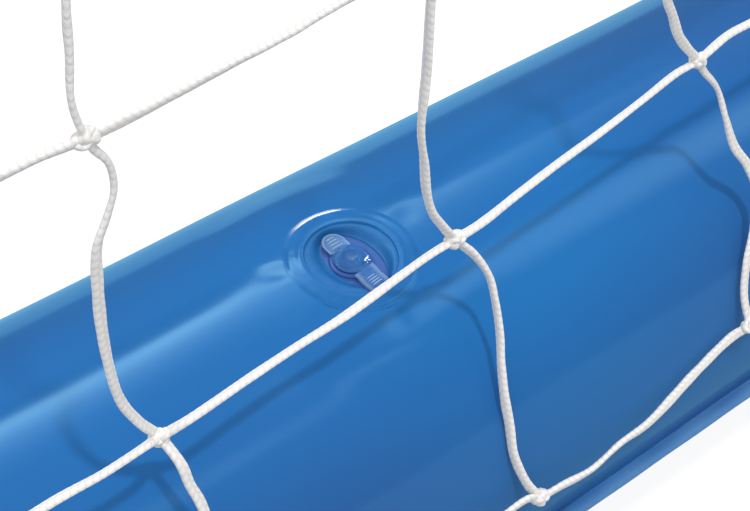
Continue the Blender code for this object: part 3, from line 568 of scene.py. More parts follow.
def net_runs(rising):
    """The cord of each mesh's side, from knot to knot, as (near, skin, place), finer where it is near."""
    runs = []
    kind, table = ("rising", RISING) if rising else ("running", RUNNING)
    lines, cells = (CELLS_WIDE + 1, CELLS_HIGH) if rising else (CELLS_HIGH + 1, CELLS_WIDE)
    for line in range(lines):
        stations = knots[line] if rising else knots[:, line]
        keys = [(line, cell) if rising else (cell, line) for cell in range(cells)]
        route, firsts = [stations[0]], [0]
        for cell, key in enumerate(keys):
            bends = [(0.25, 0, 0, -0.9), (0.7, 0, 0, 0.8)]
            if rising:
                sway = 5.5 * (1.0 + 0.3 * math.sin(1.3 * line + 2.1 * cell)) * (0 < line < CELLS_WIDE)
                bows = ((0.12, -1.0), (0.38, -0.6), (0.64, 0.3), (0.88, 1.0))
                bends = [(t, aside * sway, 0, 0) for t, aside in (bows if cell == 0 else bows[::3])]
            inner = bent_line(stations[cell], stations[cell + 1], table.get(key, bends))
            if rising and key not in table:
                inner[:, 1] = np.minimum(inner[:, 1], net_front(inner[:, 2]))
            route += [*inner, stations[cell + 1]]
            firsts.append(len(route) - 1)
        for near in (False, True):
            wanted = [cell for cell, key in enumerate(keys) if (key in table) == near]
            if not wanted:
                continue
            path, passed, along = smooth_route(np.array(route), NEAR_STEP if near else FAR_STEP)
            if rising:
                turn = 0.75 * np.sin(along * 27.0 + 1.7 * line) + 0.5 * np.sin(along * 11.0 + line)
            else:
                turn = 0.5 * np.sin(along * 19.0 + 2.3 * line) + 0.25
            size = 1.0
            if (kind, line) in TURNS:
                first, angles, sizes = TURNS[kind, line]
                at = (first + 9.0 * np.arange(len(angles))) / 1000.0
                turn = np.interp(along, at, angles)
                size = np.interp(along, at, sizes)
            swell = 1.0 + 0.05 * np.sin(along * 190.0 + line) + 0.04 * np.sin(along * 613.0 + 2.0 * line)
            sides, relief = (14, 0.05) if near else (8, 0.0)
            wide, thick = CORD_HALF_WIDE * size * swell, CORD_HALF_THICK * size / swell
            skin, place = braid_skin(path, along, (0.0, -1.0, 0.25), turn, wide, thick, sides, relief)
            for cell in wanted:
                take = np.flatnonzero((passed >= firsts[cell]) & (passed <= firsts[cell + 1]))
                part = skin[take].copy()
                part[0] = path[take[0]]
                part[-1] = path[take[-1]]
                runs.append((near, part, place[take]))
    return runs


def knot_wraps(places, steps, sides):
    """A trefoil on each place: twice round while it goes three times in and out, flattened onto the net."""
    a = np.linspace(0.0, 2.0 * math.pi, steps + 1)
    out = 0.00125 + 0.00085 * np.cos(3.0 * a)
    line = np.stack((1.10 * out * np.cos(2.0 * a), 0.00105 * np.sin(3.0 * a), out * np.sin(2.0 * a)), -1)
    skin, place = braid_skin(line, lengths(line), line.copy(), 0.0 * a, 0.00140, 0.00095, sides, 0.06)
    skin[0] = skin[-1] = (skin[1] + skin[-2]) / 2.0
    count = np.arange(len(places))
    turn = 0.9 * np.sin(2.7 * count) + 0.4
    spin = np.zeros((len(places), 3, 3))
    flip = np.where(np.sin(5.1 * count) > 0.0, 1.0, -1.0)
    spin[:, 0, 0] = np.cos(turn) * flip
    spin[:, 0, 2] = np.sin(turn)
    spin[:, 1, 1] = 1.0
    spin[:, 2, 0] = -np.sin(turn) * flip
    spin[:, 2, 2] = np.cos(turn)
    squash = np.array((1.08, 1.0, 0.84))
    wraps = np.einsum("kab,ijb->kija", spin, skin) * squash + np.asarray(places)[:, None, None]
    return [(wrap, place) for wrap in wraps]


knots = net_knots()
runs = net_runs(True) + net_runs(False)
near_runs = [(skin, place) for near, skin, place in runs if near]
far_runs = [(skin, place) for near, skin, place in runs if not near]
half = len(far_runs) // 2
close = [(c, r) for c in (14, 15, 16) for r in (0, 1, 2)]
others = [(c, r) for c in range(CELLS_WIDE + 1) for r in range(CELLS_HIGH + 1) if (c, r) not in close]
net_parts = {
    "net_cords_seen": near_runs,
    "net_cords_left": far_runs[:half],
    "net_cords_right": far_runs[half:],
    "net_knots_seen": knot_wraps([knots[key] for key in close], 150, 14),
    "net_knots": knot_wraps([knots[key] for key in others], 54, 8),
}
for name, braids in net_parts.items():
    skins, places = zip(*braids)
    item = piece(name, skins, white_braid, uv=places)
    item.visible_glossy = False
    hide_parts("net")

# Base tube
# One long bag of blue PVC film, two sheets welded along the front and the back, 140 mm across when blown up.
# A 5 mm lip of doubled film stands out of each weld, a narrow collar welds each end to its cross float, and
# the film is cut round for the valve.

GAP = 0.0003
LIP_OUT = 0.005
LIP_HALF = 0.0004
BASE_R = 0.070
BASE_SEAM = -20.0
BASE_END = 0.980
FLOAT_R = 0.100
FLOAT_X = 1.095
FLOAT_Z = 0.099
VALVE_X = 0.483
VALVE_LEAN = 80.0
VALVE_CUT = 0.0158
FLATTER = 0.35
WINDOW = 0.031
WINDOW_DEGREES = 26.0
KNURL_PITCH = 0.0016
# How a collar's end turns out: how far it is off the skin that it is welded to, and how far it flares.
FLARES = (
    (0.0060, 0.0), (0.0030, 0.0), (0.0014, 0.0004), (0.0009, 0.0016), (0.0008, 0.0045), (0.0003, 0.0060),
)


def marked(tree, name):
    """The piece's own mark of that name."""
    node = tree.nodes.new("ShaderNodeAttribute")
    node.attribute_name = name
    return node.outputs["Fac"]


def film_pattern():
    """Blown PVC: slow drifts between two blues, shade painted by the piece's mark "deep", faint haze and
    ripples, and paler knurled welds.
    """
    takes = {"Blue": "Color", "Deep Blue": "Color", "Weld Blue": "Color"}
    takes |= {"Gloss": "Float", "Ripple": "Float", "Knurl": "Float"}
    gives = {"Color": "Color", "Roughness": "Float", "Height": "Float"}
    group, start, end = pattern("blown_film", takes, gives)
    weld = marked(group, "weld")
    # The mark "deep" is painted shade; the noise drift is the film's own tone.
    drift = maths(group, "MULTIPLY_ADD", noise(group, 7.0, 1.5), 1.2, -0.42)
    deep = maths(group, "ADD", marked(group, "deep"), drift)
    blue = tinted(group, start["Blue"], start["Deep Blue"], deep)
    group.links.new(tinted(group, blue, start["Weld Blue"], weld), end["Color"])
    rough = maths(group, "MULTIPLY_ADD", noise(group, 30.0, 2.0), 0.08, start["Gloss"])
    group.links.new(maths(group, "MULTIPLY_ADD", weld, 0.14, rough), end["Roughness"])
    where = group.nodes.new("ShaderNodeTexCoord")
    x, y, z = apart(group, where.outputs["Object"])
    tread = 2.0 * math.pi / KNURL_PITCH
    cross = maths(group, "SINE", maths(group, "MULTIPLY", maths(group, "ADD", x, y), tread))
    rise = maths(group, "SINE", maths(group, "MULTIPLY", maths(group, "SUBTRACT", z, y), tread))
    knurl = maths(group, "MULTIPLY", maths(group, "MULTIPLY", cross, rise), weld)
    knurl = maths(group, "MULTIPLY", knurl, start["Knurl"])
    high = maths(group, "MULTIPLY_ADD", noise(group, 24.0, 1.0), start["Ripple"], knurl)
    group.links.new(high, end["Height"])
    return group


FILM_PATTERN = film_pattern()
skin_looks = {
    "Blue": (0.014, 0.163, 0.468),
    "Deep Blue": (0.027, 0.106, 0.335),
    "Weld Blue": (0.080, 0.230, 0.500),
    "Gloss": 0.10,
    "Ripple": 0.00010,
    "Knurl": 0.00003,
}
skin_blue = patterned("blue_film", FILM_PATTERN, skin_looks, {"IOR": 1.5})


def lip_steps():
    """Out along one face of a weld lip, round its edge and back, as how far out and how far to the side."""
    out = LIP_OUT * np.array([0.0, 0.08, 0.24, 0.44, 0.68, 0.90, 0.98, 1.0])
    side = LIP_HALF * np.array([1.0, 1.0, 0.92, 0.92, 1.0, 1.0, 0.75, 0.0])
    return np.concatenate((out, out[-2::-1])), np.concatenate((-side, side[-2::-1]))


def seam_angles(low, high, coarse, window=None, fine=None):
    """Degrees from one weld to the next, close together near both, and in a window."""
    near = np.array([0.35, 0.9, 1.7, 2.8, 4.2, 6.0, 8.2])
    stops = [low + near[-1], *(window or ()), high - near[-1]]
    run = [stops[:1]]
    for a, b in zip(stops, stops[1:]):
        step = fine if window and a == window[0] else coarse
        run.append(np.linspace(a, b, int(round((b - a) / step)) + 1)[1:])
    return np.concatenate((low + near[:-1], *run, high - near[-2::-1]))


def pucker(along, away, high, wave, reach):
    """Gathers beside a weld: rounded crowns between sharp valleys, that fade with the distance from it."""
    crown = np.abs(np.sin(math.pi * along / wave + 0.6 * np.sin(along * 23.0)))
    return high * (crown - 0.75) * np.exp(-((away / reach) ** 1.5))


def valve_rise(away, across, radius, reach):
    """A valve's stiff ring holds the film a third flatter than elsewhere, which eases off beyond its edge."""
    ease = np.clip((reach - away) / (reach - 0.0197), 0.0, 1.0)
    return FLATTER * (radius - np.sqrt(radius**2 - across**2)) * ease**2 * (3.0 - 2.0 * ease)


def base_point(x, angle, out=0.0, aside=0.0):
    """Round the tube's axis, at its radius plus slack, gathers and lip, turned up from the front by angle."""
    weld = np.radians(np.abs((angle - BASE_SEAM + 90.0) % 180.0 - 90.0)) * BASE_R
    lean = np.radians(angle - VALVE_LEAN)
    across = BASE_R * np.sin(lean)
    from_valve = np.hypot(x - VALVE_X, across)
    turn = np.arctan2(across, x - VALVE_X)
    slack = 0.00010 * np.sin(31.0 * x + 2.0 * np.sin(2.0 * np.radians(angle)))
    slack = slack + 0.00008 * np.sin(57.0 * x - 3.0 * np.radians(angle))
    folds = np.exp(-(((from_valve - 0.0235) / 0.0050) ** 2)) * np.maximum(0.0, np.sin(7.0 * turn + 0.6)) ** 2
    rise = valve_rise(from_valve, across, BASE_R, 0.046) * np.cos(lean)
    r = slack * np.clip((from_valve - 0.020) / 0.02, 0.0, 1.0) + pucker(x, weld, 0.00012, 0.013, 0.012)
    r = r + np.where(np.cos(lean) > 0.0, rise - 0.00020 * folds, 0.0)
    r = BASE_R + out + np.where((out > 0.0) | (aside != 0.0), 0.0, r)
    wave = 0.00035 * (out / LIP_OUT) ** 2 * np.sin(2.0 * math.pi * x / 0.031 + np.sin(x * 17.0))
    turned = np.radians(angle) + (aside + wave) / r
    return np.stack(np.broadcast_arrays(x, -r * np.cos(turned), BASE_Z + r * np.sin(turned)), -1)


def float_side(z, away):
    """How far out along X a cross float's skin, moved out by away, stands at height z."""
    return FLOAT_X - np.sqrt(np.maximum((FLOAT_R + away) ** 2 - (z - FLOAT_Z) ** 2, 0.00002))


def round_window(along, across, cut, steps=24):
    """Rings from a round hole out to the edge of a square window, closer together near the hole."""
    turn = np.arctan2(across, along)
    share = (np.linspace(0.0, 1.0, steps) ** 1.3)[:, None]
    hole_along, hole_across = cut * np.cos(turn), cut * np.sin(turn)
    return hole_along * (1 - share) + along * share, hole_across * (1 - share) + across * share


def window_edge(i0, i1, j0, j1):
    """The places in a grid once round a window, and back to the first."""
    i, j = np.arange(i0, i1), np.arange(j0, j1)
    up, down = np.full(j1 - j0, i1), np.full(j1 - j0, i0)
    near, far = np.full(i1 - i0, j0), np.full(i1 - i0, j1)
    i_edge = np.concatenate((i, up, i[::-1] + 1, down, [i0]))
    j_edge = np.concatenate((near, j, far, j[::-1] + 1, [j0]))
    return i_edge, j_edge


def nearest(values, value):
    """Which of the values is nearest."""
    return int(np.argmin(np.abs(values - value)))


top_window = (VALVE_LEAN - WINDOW_DEGREES, VALVE_LEAN + WINDOW_DEGREES)
top = seam_angles(BASE_SEAM, BASE_SEAM + 180.0, 2.6, top_window, 1.3)
under = seam_angles(BASE_SEAM + 180.0, BASE_SEAM + 360.0, 3.4)
lip_out, lip_side = lip_steps()
lip = 0 * lip_out + BASE_SEAM
angles = np.concatenate((top, lip + 180.0, under, lip + 360.0, top[:1] + 360.0))
outs = np.concatenate((0 * top, lip_out, 0 * under, lip_out, [0.0]))
asides = np.concatenate((0 * top, lip_side, 0 * under, lip_side, [0.0]))
stretches = (
    (-BASE_END, 0.300, 120), (0.300, VALVE_X - WINDOW, 46), (VALVE_X - WINDOW, VALVE_X + WINDOW, 42),
    (VALVE_X + WINDOW, 0.700, 56), (0.700, BASE_END, 28),
)
xs = np.concatenate([np.linspace(*stretch)[:-1] for stretch in stretches] + [[BASE_END]])
tube = base_point(xs[:, None], angles, outs, asides)
ends = {-1: [], 1: []}
for side in (-1, 1):
    for rise, flare in FLARES:
        out = np.where(outs > 0.0, outs, flare)
        height = np.maximum(BASE_Z + (BASE_R + out) * np.sin(np.radians(angles)), 0.0005)
        ring = base_point(side * float_side(height, GAP + rise), angles, out, asides)
        ring[:, 2] = np.maximum(ring[:, 2], 0.0005)
        ends[side].append(ring)
tube = np.concatenate((np.array(ends[-1][::-1]), tube, np.array(ends[1])))
i0, i1 = (nearest(xs, VALVE_X + reach) + len(FLARES) for reach in (-WINDOW, WINDOW))
j0, j1 = (nearest(angles, angle) for angle in top_window)
cut_out = np.zeros((len(tube) - 1, len(angles) - 1), bool)
cut_out[i0:i1, j0:j1] = True
edge_i, edge_j = window_edge(i0, i1, j0, j1)
edge_x = xs[edge_i - len(FLARES)] - VALVE_X
edge_across = BASE_R * np.sin(np.radians(angles[edge_j] - VALVE_LEAN))
along, across = round_window(edge_x, edge_across, VALVE_CUT)
patch = base_point(VALVE_X + along, VALVE_LEAN + np.degrees(np.arcsin(across / BASE_R)))
weld = np.broadcast_to(np.clip(outs / 0.0022 - 0.5, 0.0, 1.0), tube.shape[:2])
# Painted shade: the film goes towards its deep blue on the front below the valve, a little on the back, and
# in slow waves along the tube that are lightest round the valve.
deep = []
for part in (tube, patch):
    x, y = part[..., 0], part[..., 1]
    front, back = np.clip((-0.046 - y) / 0.018, 0.0, 1.0), np.clip(y / 0.02, 0.0, 1.0)
    deep.append(0.45 * front + 0.15 * back + 0.35 + 0.35 * np.cos(11.5 * (x - 0.22)))
marks = {"weld": [weld, np.zeros(patch.shape[:2])], "deep": deep}
base_skin = piece("base_tube_skin", [tube, patch], skin_blue, marks=marks, skip=cut_out)
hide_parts("base_tube")

# Cross floats and posts
# Each is one bag of the same film, welded all round its outline: a float lies under each end of the tube, and
# a post stands on it, welded on by a collar. Their ends gather where the flat film is drawn round, and a
# tongue of the weld at each end of a float carries an anchor eyelet.

FLOAT_END = 0.085
FLOAT_STRAIGHT = 0.205
POST_R = 0.060
POST_DOME = 0.045
POST_TOP = 0.905
POST_ROWS = 63
FLOAT_VALVE_Y = -0.170
FLOAT_WINDOW_FROM = 72.0
WINDOW_ROWS = 36

lower = seam_angles(0.0, 2.0 * FLOAT_WINDOW_FROM, 4.0)
upper = np.concatenate((lower[lower < FLOAT_WINDOW_FROM], np.linspace(FLOAT_WINDOW_FROM, 90.0, 15)))
upper = np.unique(np.round(upper, 4))
elevation = np.concatenate((-upper[::-1], 0 * lip_out, upper))
shell_out = np.concatenate((0 * upper, lip_out, 0 * upper))
shell_aside = np.concatenate((0 * upper, lip_side, 0 * upper))
weld_row = (shell_out > 0.0).astype(float)


def bag_shell(spine, across, endways, radius, out, gather, along):
    """Half up and half down from a bag's outline, with gathers that run in from the weld.

    It is the outline's reach times the cosine of the elevation, and the bag's radius times its sine.
    """
    rise = np.radians(elevation)
    pull = pucker(along[:, None], np.abs(rise) * radius, gather[:, None], 0.0115, 0.022) / radius
    scale = np.cos(rise) * (1.0 + np.where((out > 0.0) | (shell_aside != 0.0), 0.0, pull))
    length = np.maximum(np.hypot(across, endways), 0.000001)
    a = across[:, None] * scale + (across / length)[:, None] * out
    b = spine[:, None] + endways[:, None] * scale + (endways / length)[:, None] * out
    c = radius * np.sin(rise) * (1.0 + np.where(out > 0.0, 0.0, pull)) + shell_aside + 0.0 * a
    return a, b, c


window_y = np.linspace(FLOAT_VALVE_Y - WINDOW, FLOAT_VALVE_Y + WINDOW, WINDOW_ROWS)
reach_y = np.concatenate(([-FLOAT_STRAIGHT], window_y, np.linspace(window_y[-1], FLOAT_STRAIGHT, 64)[1:]))
half_turn = np.linspace(90.0, -90.0, 56)[1:-1]
level, round_end = 0 * reach_y, 0 * half_turn
spine = (reach_y, round_end + FLOAT_STRAIGHT, reach_y[::-1], round_end - FLOAT_STRAIGHT, reach_y[:1])
spine = np.concatenate(spine)
theta = np.radians(np.concatenate((level + 90.0, half_turn, level - 90.0, half_turn[::-1], [90.0])))
endwise = np.concatenate((level, round_end + 1.0, level, round_end - 1.0, [0.0]))
across = FLOAT_R * np.sin(theta)
endways = FLOAT_END * np.cos(theta) * endwise
outline = lengths(np.stack((across, spine + endways), -1))
gather = 0.00012 + 0.00075 * np.abs(endwise) * np.cos(theta) ** 0.5
float_shell = bag_shell(spine, across, endways, FLOAT_R, shell_out, gather, outline)

# The valve's window is open over the top of the outline, on its way out and on its way back.
cut_out = np.zeros((len(spine) - 1, len(elevation) - 1), bool)
j0 = nearest(elevation, FLOAT_WINDOW_FROM)
back = 2 * len(reach_y) + len(half_turn) - 1
cut_out[1:WINDOW_ROWS, j0:] = True
cut_out[back - WINDOW_ROWS : back - 1, j0:] = True
window_y = window_y - FLOAT_VALVE_Y
slope = FLOAT_R * np.sin(np.radians(90.0 - elevation[j0:]))
over = np.concatenate((slope[1:], -slope[-2::-1]))
edge_along = np.concatenate((window_y, 0 * over + window_y[-1], window_y[-2::-1], 0 * over + window_y[0]))
edge_across = np.concatenate((0 * window_y + slope[0], over, 0 * window_y[1:] - slope[0], -over))
patch_along, patch_across = round_window(edge_along, edge_across, VALVE_CUT)
patch_up = np.sqrt(FLOAT_R**2 - patch_across**2)
patch_up += valve_rise(np.hypot(patch_along, patch_across), patch_across, FLOAT_R, 0.0302)

# A post goes up one side from its collar, over its dome and down the other.
share = np.concatenate((np.zeros(len(FLARES)), np.linspace(0.0, 1.0, POST_ROWS + 1)[1:]))
rise, flare = np.array(FLARES[::-1] + POST_ROWS * FLARES[:1]).T
dome_turn = np.linspace(-90.0, 90.0, 56)[1:-1]
level, dome = 0 * share, 0 * dome_turn
theta = np.radians(np.concatenate((level - 90.0, dome_turn, level + 90.0)))
domed = np.concatenate((level, dome + 1.0, level))
flare = np.concatenate((flare, dome, flare[::-1]))[:, None]
rise = np.concatenate((rise, dome, rise[::-1]))[:, None]
share = np.concatenate((share, dome + 1.0, share[::-1]))[:, None]
across = (POST_R + flare[:, 0]) * np.sin(theta)
endways = POST_DOME * np.cos(theta) * domed
gather = 0.00010 + 0.00060 * domed * np.maximum(np.cos(theta), 0.0) ** 0.5
lip = np.where(shell_out > 0.0, np.maximum(shell_out - flare, 0.0002), 0.0)
outline = np.linspace(0.0, 1.75, len(theta))
post_x, b, c = bag_shell(0 * across, across, endways, POST_R, lip, gather, outline)
post_y = -c - flare * np.sin(np.radians(elevation))
foot = FLOAT_Z + np.sqrt((FLOAT_R + GAP) ** 2 - post_x**2) + rise
straight_top = POST_TOP - POST_DOME
post_z = np.where(share < 1.0, foot + (straight_top - foot) * share, straight_top) + b

for name, side in (("left", -1), ("right", 1)):
    a, b, c = float_shell
    shell = np.stack((side * (FLOAT_X + a), b, np.maximum(FLOAT_Z + c, 0.0)), -1)
    patch = (side * (FLOAT_X + patch_across), FLOAT_VALVE_Y + patch_along, FLOAT_Z + patch_up)
    patch = np.stack(patch, -1)
    weld = [np.broadcast_to(weld_row, shell.shape[:2]), np.zeros(patch.shape[:2])]
    skin = piece(f"float_{name}_skin", [shell, patch], skin_blue, marks={"weld": weld}, skip=cut_out)
    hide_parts(f"float_{name}")

    shell = np.stack((side * FLOAT_X + post_x, post_y, post_z), -1)
    weld = [np.broadcast_to(weld_row, shell.shape[:2])]
    skin = piece(f"post_{name}_skin", [shell], skin_blue, marks={"weld": weld})
    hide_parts(f"post_{name}")

# Tie tabs, eyelets and ties
# Two tabs of doubled film are welded to each post on a patch that follows it, and two tongues to each float.
# Each has a pressed nickel eyelet. The net's corner cords are knotted through the tabs' eyelets.

DEPTH_HALF = 0.320
TAB_HEIGHTS = {"lower": 0.235, "upper": 0.838}
TAB_THICK = 0.0012
TAB_OUT = 0.024
TAB_ROUND = 0.010
EYE_FROM_SKIN = 0.014
TAB_SKIN = math.sqrt((POST_R + GAP) ** 2 - NET_Y**2)
EYELET_HOLE = 0.0050
EYELET_ROLL = 0.0006
TONGUE_R = 0.014
TONGUE_THICK = 0.0009
ANCHOR_HALF = 0.0004
TIE_HALVES = (0.0015, 0.0014)
TIE_STEP = 0.0007
LOOP = 0.032
# From an eyelet, how far the tie's loop is along the cord and how far aside, as a share of its widest.
LOOP_STEPS = ((0.026, 0.3), (0.016, 0.85), (0.008, 1.0), (0.0025, 0.9))

tab_looks = {
    "Blue": (0.020, 0.165, 0.480),
    "Deep Blue": (0.026, 0.130, 0.400),
    "Weld Blue": (0.040, 0.190, 0.480),
    "Gloss": 0.16,
    "Ripple": 0.00006,
    "Knurl": 0.00005,
}
tab_blue = patterned("tab_film", FILM_PATTERN, tab_looks, {"IOR": 1.5})
nickel, tree, shader = new_material("worn_nickel")
shader.inputs["Metallic"].default_value = 1.0
grain = noise(tree, 900.0, 4.0)
tone = tinted(tree, (0.50, 0.47, 0.42), (0.72, 0.71, 0.68), grain)
tree.links.new(tone, shader.inputs["Base Color"])
tree.links.new(maths(tree, "MULTIPLY_ADD", grain, 0.25, 0.14), shader.inputs["Roughness"])


def pierced_plate(corners, thick, place, step=0.0012):
    """A flat plate from an eyelet's hole out to the closed line through its corners, with rounded edges.

    Rings lie between the two, once on each face. place turns along, up and off the plate into the scene's
    axes.
    """
    corners = np.array([*corners, corners[0]], float)
    length = lengths(corners)
    at = np.linspace(0.0, length[-1], int(length[-1] / step) + 1)
    outline = np.stack([np.interp(at, length, corners[:, axis]) for axis in (0, 1)], -1)
    turn = np.unwrap(np.arctan2(outline[:, 1], outline[:, 0]))
    inner = EYELET_HOLE * np.stack((np.cos(turn), np.sin(turn)), -1)
    share = np.array([0.0, 0.02, 0.2, 0.4, 0.6, 0.8, 0.95, 0.985, 1.0, 1.0])[:, None, None]
    level = thick / 2 * np.array([0.6, 1.0, 1.0, 1.0, 1.0, 1.0, 1.0, 0.85, 0.4, 0.0])
    face = inner + (outline - inner) * share
    flat = np.concatenate((face, face[-2::-1], face[:1]))
    off = np.concatenate((level, -level[-2::-1], level[:1]))[:, None] * np.ones(len(outline))
    return place(flat[..., 0], flat[..., 1], off)


def eyelet_ring(half, place):
    """A pressed eyelet: a profile of distance from the axis and height, turned once round."""
    low = half + GAP
    roll = np.radians(np.linspace(180.0, 0.0, 9))
    rolled = 0.00575 + 0.00175 * np.cos(roll[1:])
    out = np.concatenate(([0.0041, 0.0040, 0.0040, 0.0041], rolled, [0.0060, 0.0047, 0.0047]))
    high = np.concatenate(([0.0, low * 0.6, low], low + EYELET_ROLL * np.sin(roll) ** 0.6, [low, low, 0.0]))
    out = np.concatenate((out, out[::-1]))
    high = np.concatenate((high, -high[::-1]))
    turn = np.linspace(0.0, 2.0 * math.pi, 41)[:, None]
    return place(out * np.cos(turn), out * np.sin(turn), high + 0.0 * turn)


def rounded(spread, power):
    """Cosine and sine of an angle, each raised to a power that squares the circle off."""
    c, s = np.cos(spread), np.sin(spread)
    return np.sign(c) * np.abs(c) ** power, np.sign(s) * np.abs(s) ** power


for name, side in (("left", -1), ("right", 1)):
    for level, height in TAB_HEIGHTS.items():
        eye = np.array((side * (FLOAT_X - TAB_SKIN - EYE_FROM_SKIN), NET_Y, height))

        def on_tab(a, b, c, eye=eye, side=side):
            """Along the tab from its eyelet, up and off it, in the scene's axes."""
            return np.stack((eye[0] - side * a, eye[1] + c, eye[2] + b), -1)

        arc = np.radians(np.linspace(-90.0, 90.0, 17))
        tip = TAB_OUT - TAB_ROUND - EYE_FROM_SKIN
        root = [(-0.0135, -0.016), (-0.0125, -0.0158), (-0.0110, -0.0150)]
        corners = root + [(tip + TAB_ROUND * math.cos(t), TAB_ROUND * math.sin(t)) for t in arc]
        corners += [(x, -y) for x, y in root[::-1]]
        grid = pierced_plate(corners, TAB_THICK, on_tab)
        share = np.array([0.0, 0.3, 0.6, 0.85, 0.95, 0.985, 1.0, 1.0])[:, None]
        lift = np.array([1.0, 1.0, 1.0, 1.0, 1.0, 0.8, 0.4, 0.0])[:, None]
        wide, tall = rounded(np.radians(np.linspace(0.0, 360.0, 73)), 0.5)
        y = NET_Y + share * 0.014 * wide
        x = FLOAT_X - np.sqrt((POST_R + GAP + 0.0008 * lift) ** 2 - y**2)
        patch = np.stack((side * x, y, height + share * 0.020 * tall), -1)
        weld = np.broadcast_to(np.clip(share * 3 - 1.2, 0, 1), patch.shape[:2])
        weld = [np.ones(grid.shape[:2]) * 0.35, weld]
        tab = piece(f"tab_{name}_{level}_film", [grid, patch], tab_blue, marks={"weld": weld})
        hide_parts(f"tab_{name}_{level}")
        ring = piece(f"eyelet_{name}_{level}_metal", [eyelet_ring(TAB_THICK / 2, on_tab)], nickel)
        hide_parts(f"eyelet_{name}_{level}")

        corner = knots[0 if side < 0 else -1, 0 if level == "lower" else -1]
        pull = (corner - eye) / np.linalg.norm(corner - eye)
        lump = eye + pull * LOOP
        aside = np.array((0.0, TAB_THICK / 2 + GAP + EYELET_ROLL + TIE_HALVES[0] + 0.0006, 0.0))
        there = [eye + pull * far - aside * share for far, share in LOOP_STEPS]
        back = [eye + pull * far + aside * share for far, share in LOOP_STEPS[::-1]]
        straight = [corner - pull * 0.0010, (corner + lump) / 2 - (0.0, 0.0, 0.0008), lump]
        braids = knot_wraps([lump], 70, 10)
        for line in (straight, [lump, *there, eye, *back, lump]):
            route, _, far = smooth_route(np.array(line), TIE_STEP)
            turn = 0.0 * far
            braids.append(braid_skin(route, far, (0.0, 0.0, 1.0), turn, *TIE_HALVES, 12, 0.10))
        skins, places = zip(*braids)
        tie = piece(f"tie_{name}_{level}_cord", skins, white_braid, uv=places)
        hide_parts(f"tie_{name}_{level}")

    tongues = []
    for end, sign in (("front", -1), ("back", 1)):
        eye = np.array((side * FLOAT_X, sign * (DEPTH_HALF - TONGUE_R), FLOAT_Z))

        def on_tongue(a, b, c, eye=eye, sign=sign):
            """Across the tongue from its eyelet, out and up from it, in the scene's axes."""
            return np.stack((eye[0] + a, eye[1] + sign * b, eye[2] + c), -1)

        arc = np.radians(np.linspace(0.0, 180.0, 25))
        root = [(-0.020, -0.0150), (-0.0175, -0.0105), (-0.0150, -0.0050)]
        corners = root + [(-TONGUE_R * math.cos(t), TONGUE_R * math.sin(t)) for t in arc]
        corners += [(-x, y) for x, y in root[::-1]]
        tongues.append(pierced_plate(corners, TONGUE_THICK, on_tongue))
        ring = piece(f"anchor_eyelet_{name}_{end}_metal", [eyelet_ring(ANCHOR_HALF, on_tongue)], nickel)
        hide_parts(f"anchor_eyelet_{name}_{end}")
    weld = [np.ones(grid.shape[:2]) for grid in tongues]
    tongue = piece(f"float_{name}_tongues", tongues, tab_blue, marks={"weld": weld})
    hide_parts(f"float_{name}")

# Valves
# A soft vinyl valve is welded into a round cut in the film: a flat ring with beads round its edge and its
# mouth, and a wall that folds down to an oval floor. The floor carries the stem, which pulls up for blowing,
# and the clear plug closes it, with its strap on one side and its pull tab on the other.

CAP_TOP = -0.0009
VALVE_TURN = math.radians(7.0)
TAB_TURN = math.radians(1.0)
CAP_SHARE = 0.93
CAP_ASIDE = 0.00025
MOUTH_R = 0.01352
MOUTH_Z = -0.00030
FOOT_Z = -0.00295
FOOT_ASIDE = 0.0012
# The foot's oval, and where the strap's square root ends and stands to each side.
OVAL_LONG = 0.0118
OVAL_WIDE = 0.0078
ROOT_END = 0.0125
ROOT_SIDES = (0.00320, 0.00560)
STEM_R = 0.0062
FLOOR_OUT = 0.0064
# Profiles, in mm out from the axis and up from the skin.
RING_PROFILE = (
    (20.00, 0.000), (19.90, 0.030), (19.79, 0.060), (19.72, 0.070), (19.65, 0.072), (19.53, 0.075),
    (19.44, 0.095), (19.30, 0.137), (19.10, 0.195), (18.90, 0.250), (18.70, 0.302), (18.56, 0.336),
    (18.42, 0.356), (18.20, 0.370), (17.60, 0.370), (17.00, 0.370), (16.60, 0.380), (16.20, 0.400),
    (15.90, 0.430), (15.60, 0.470), (15.30, 0.500), (15.05, 0.510), (14.82, 0.490), (14.62, 0.440),
    (14.42, 0.400), (14.20, 0.400), (14.00, 0.380), (13.82, 0.280), (13.65, 0.040), (13.52, -0.300),
)
FLOOR_PROFILE = (
    (4.9, -15.5), (4.9, -2.45), (5.0, -2.4), (6.1, -2.4), (6.2, -2.5), (6.2, -3.0), (6.4, -3.2), (8.5, -3.25),
    (11.0, -3.2), (12.4, -3.2), (12.6, -3.3), (12.6, -3.9), (12.4, -4.0), (6.4, -4.0), (6.2, -4.2),
    (6.2, -15.4), (6.1, -15.5), (4.9, -15.5),
)
CAP_PROFILE = (
    (0.0, -1.35), (0.8, -1.33), (1.5, -1.24), (2.0, -1.0), (2.5, -0.9), (3.6, -0.9), (4.7, -0.98),
    (5.3, -1.14), (5.7, -1.46), (5.75, -1.9), (5.72, -2.1), (5.6, -2.12), (4.7, -2.1), (4.6, -2.2),
    (4.4, -4.0), (4.0, -5.4), (3.8, -5.5), (0.0, -5.5),
)
TAB_HALF_WIDE = 0.00375
TAB_ROUND_AT = 0.00785
TAB_ROOT = 0.0050
TAB_MIDDLE = 0.0074
STRAP_HALF_WIDE = 0.0037
RIB_HALF_WIDE = 0.00022
RIB_HIGH = 0.00026
BRACE_DEEP = 0.0004
# Across the tab from its middle: the share of its outline, and in mm the height of its two faces.
TAB_SHARE = (0.0, 0.3, 0.6, 0.80, 0.86, 0.94, 0.99, 1.0, 0.99, 0.94, 0.5, 0.0)
TAB_LEVEL = (-1.63, -1.63, -1.63, -1.63, -1.50, -1.47, -1.60, -1.75, -1.90, -1.93, -1.93, -1.93)
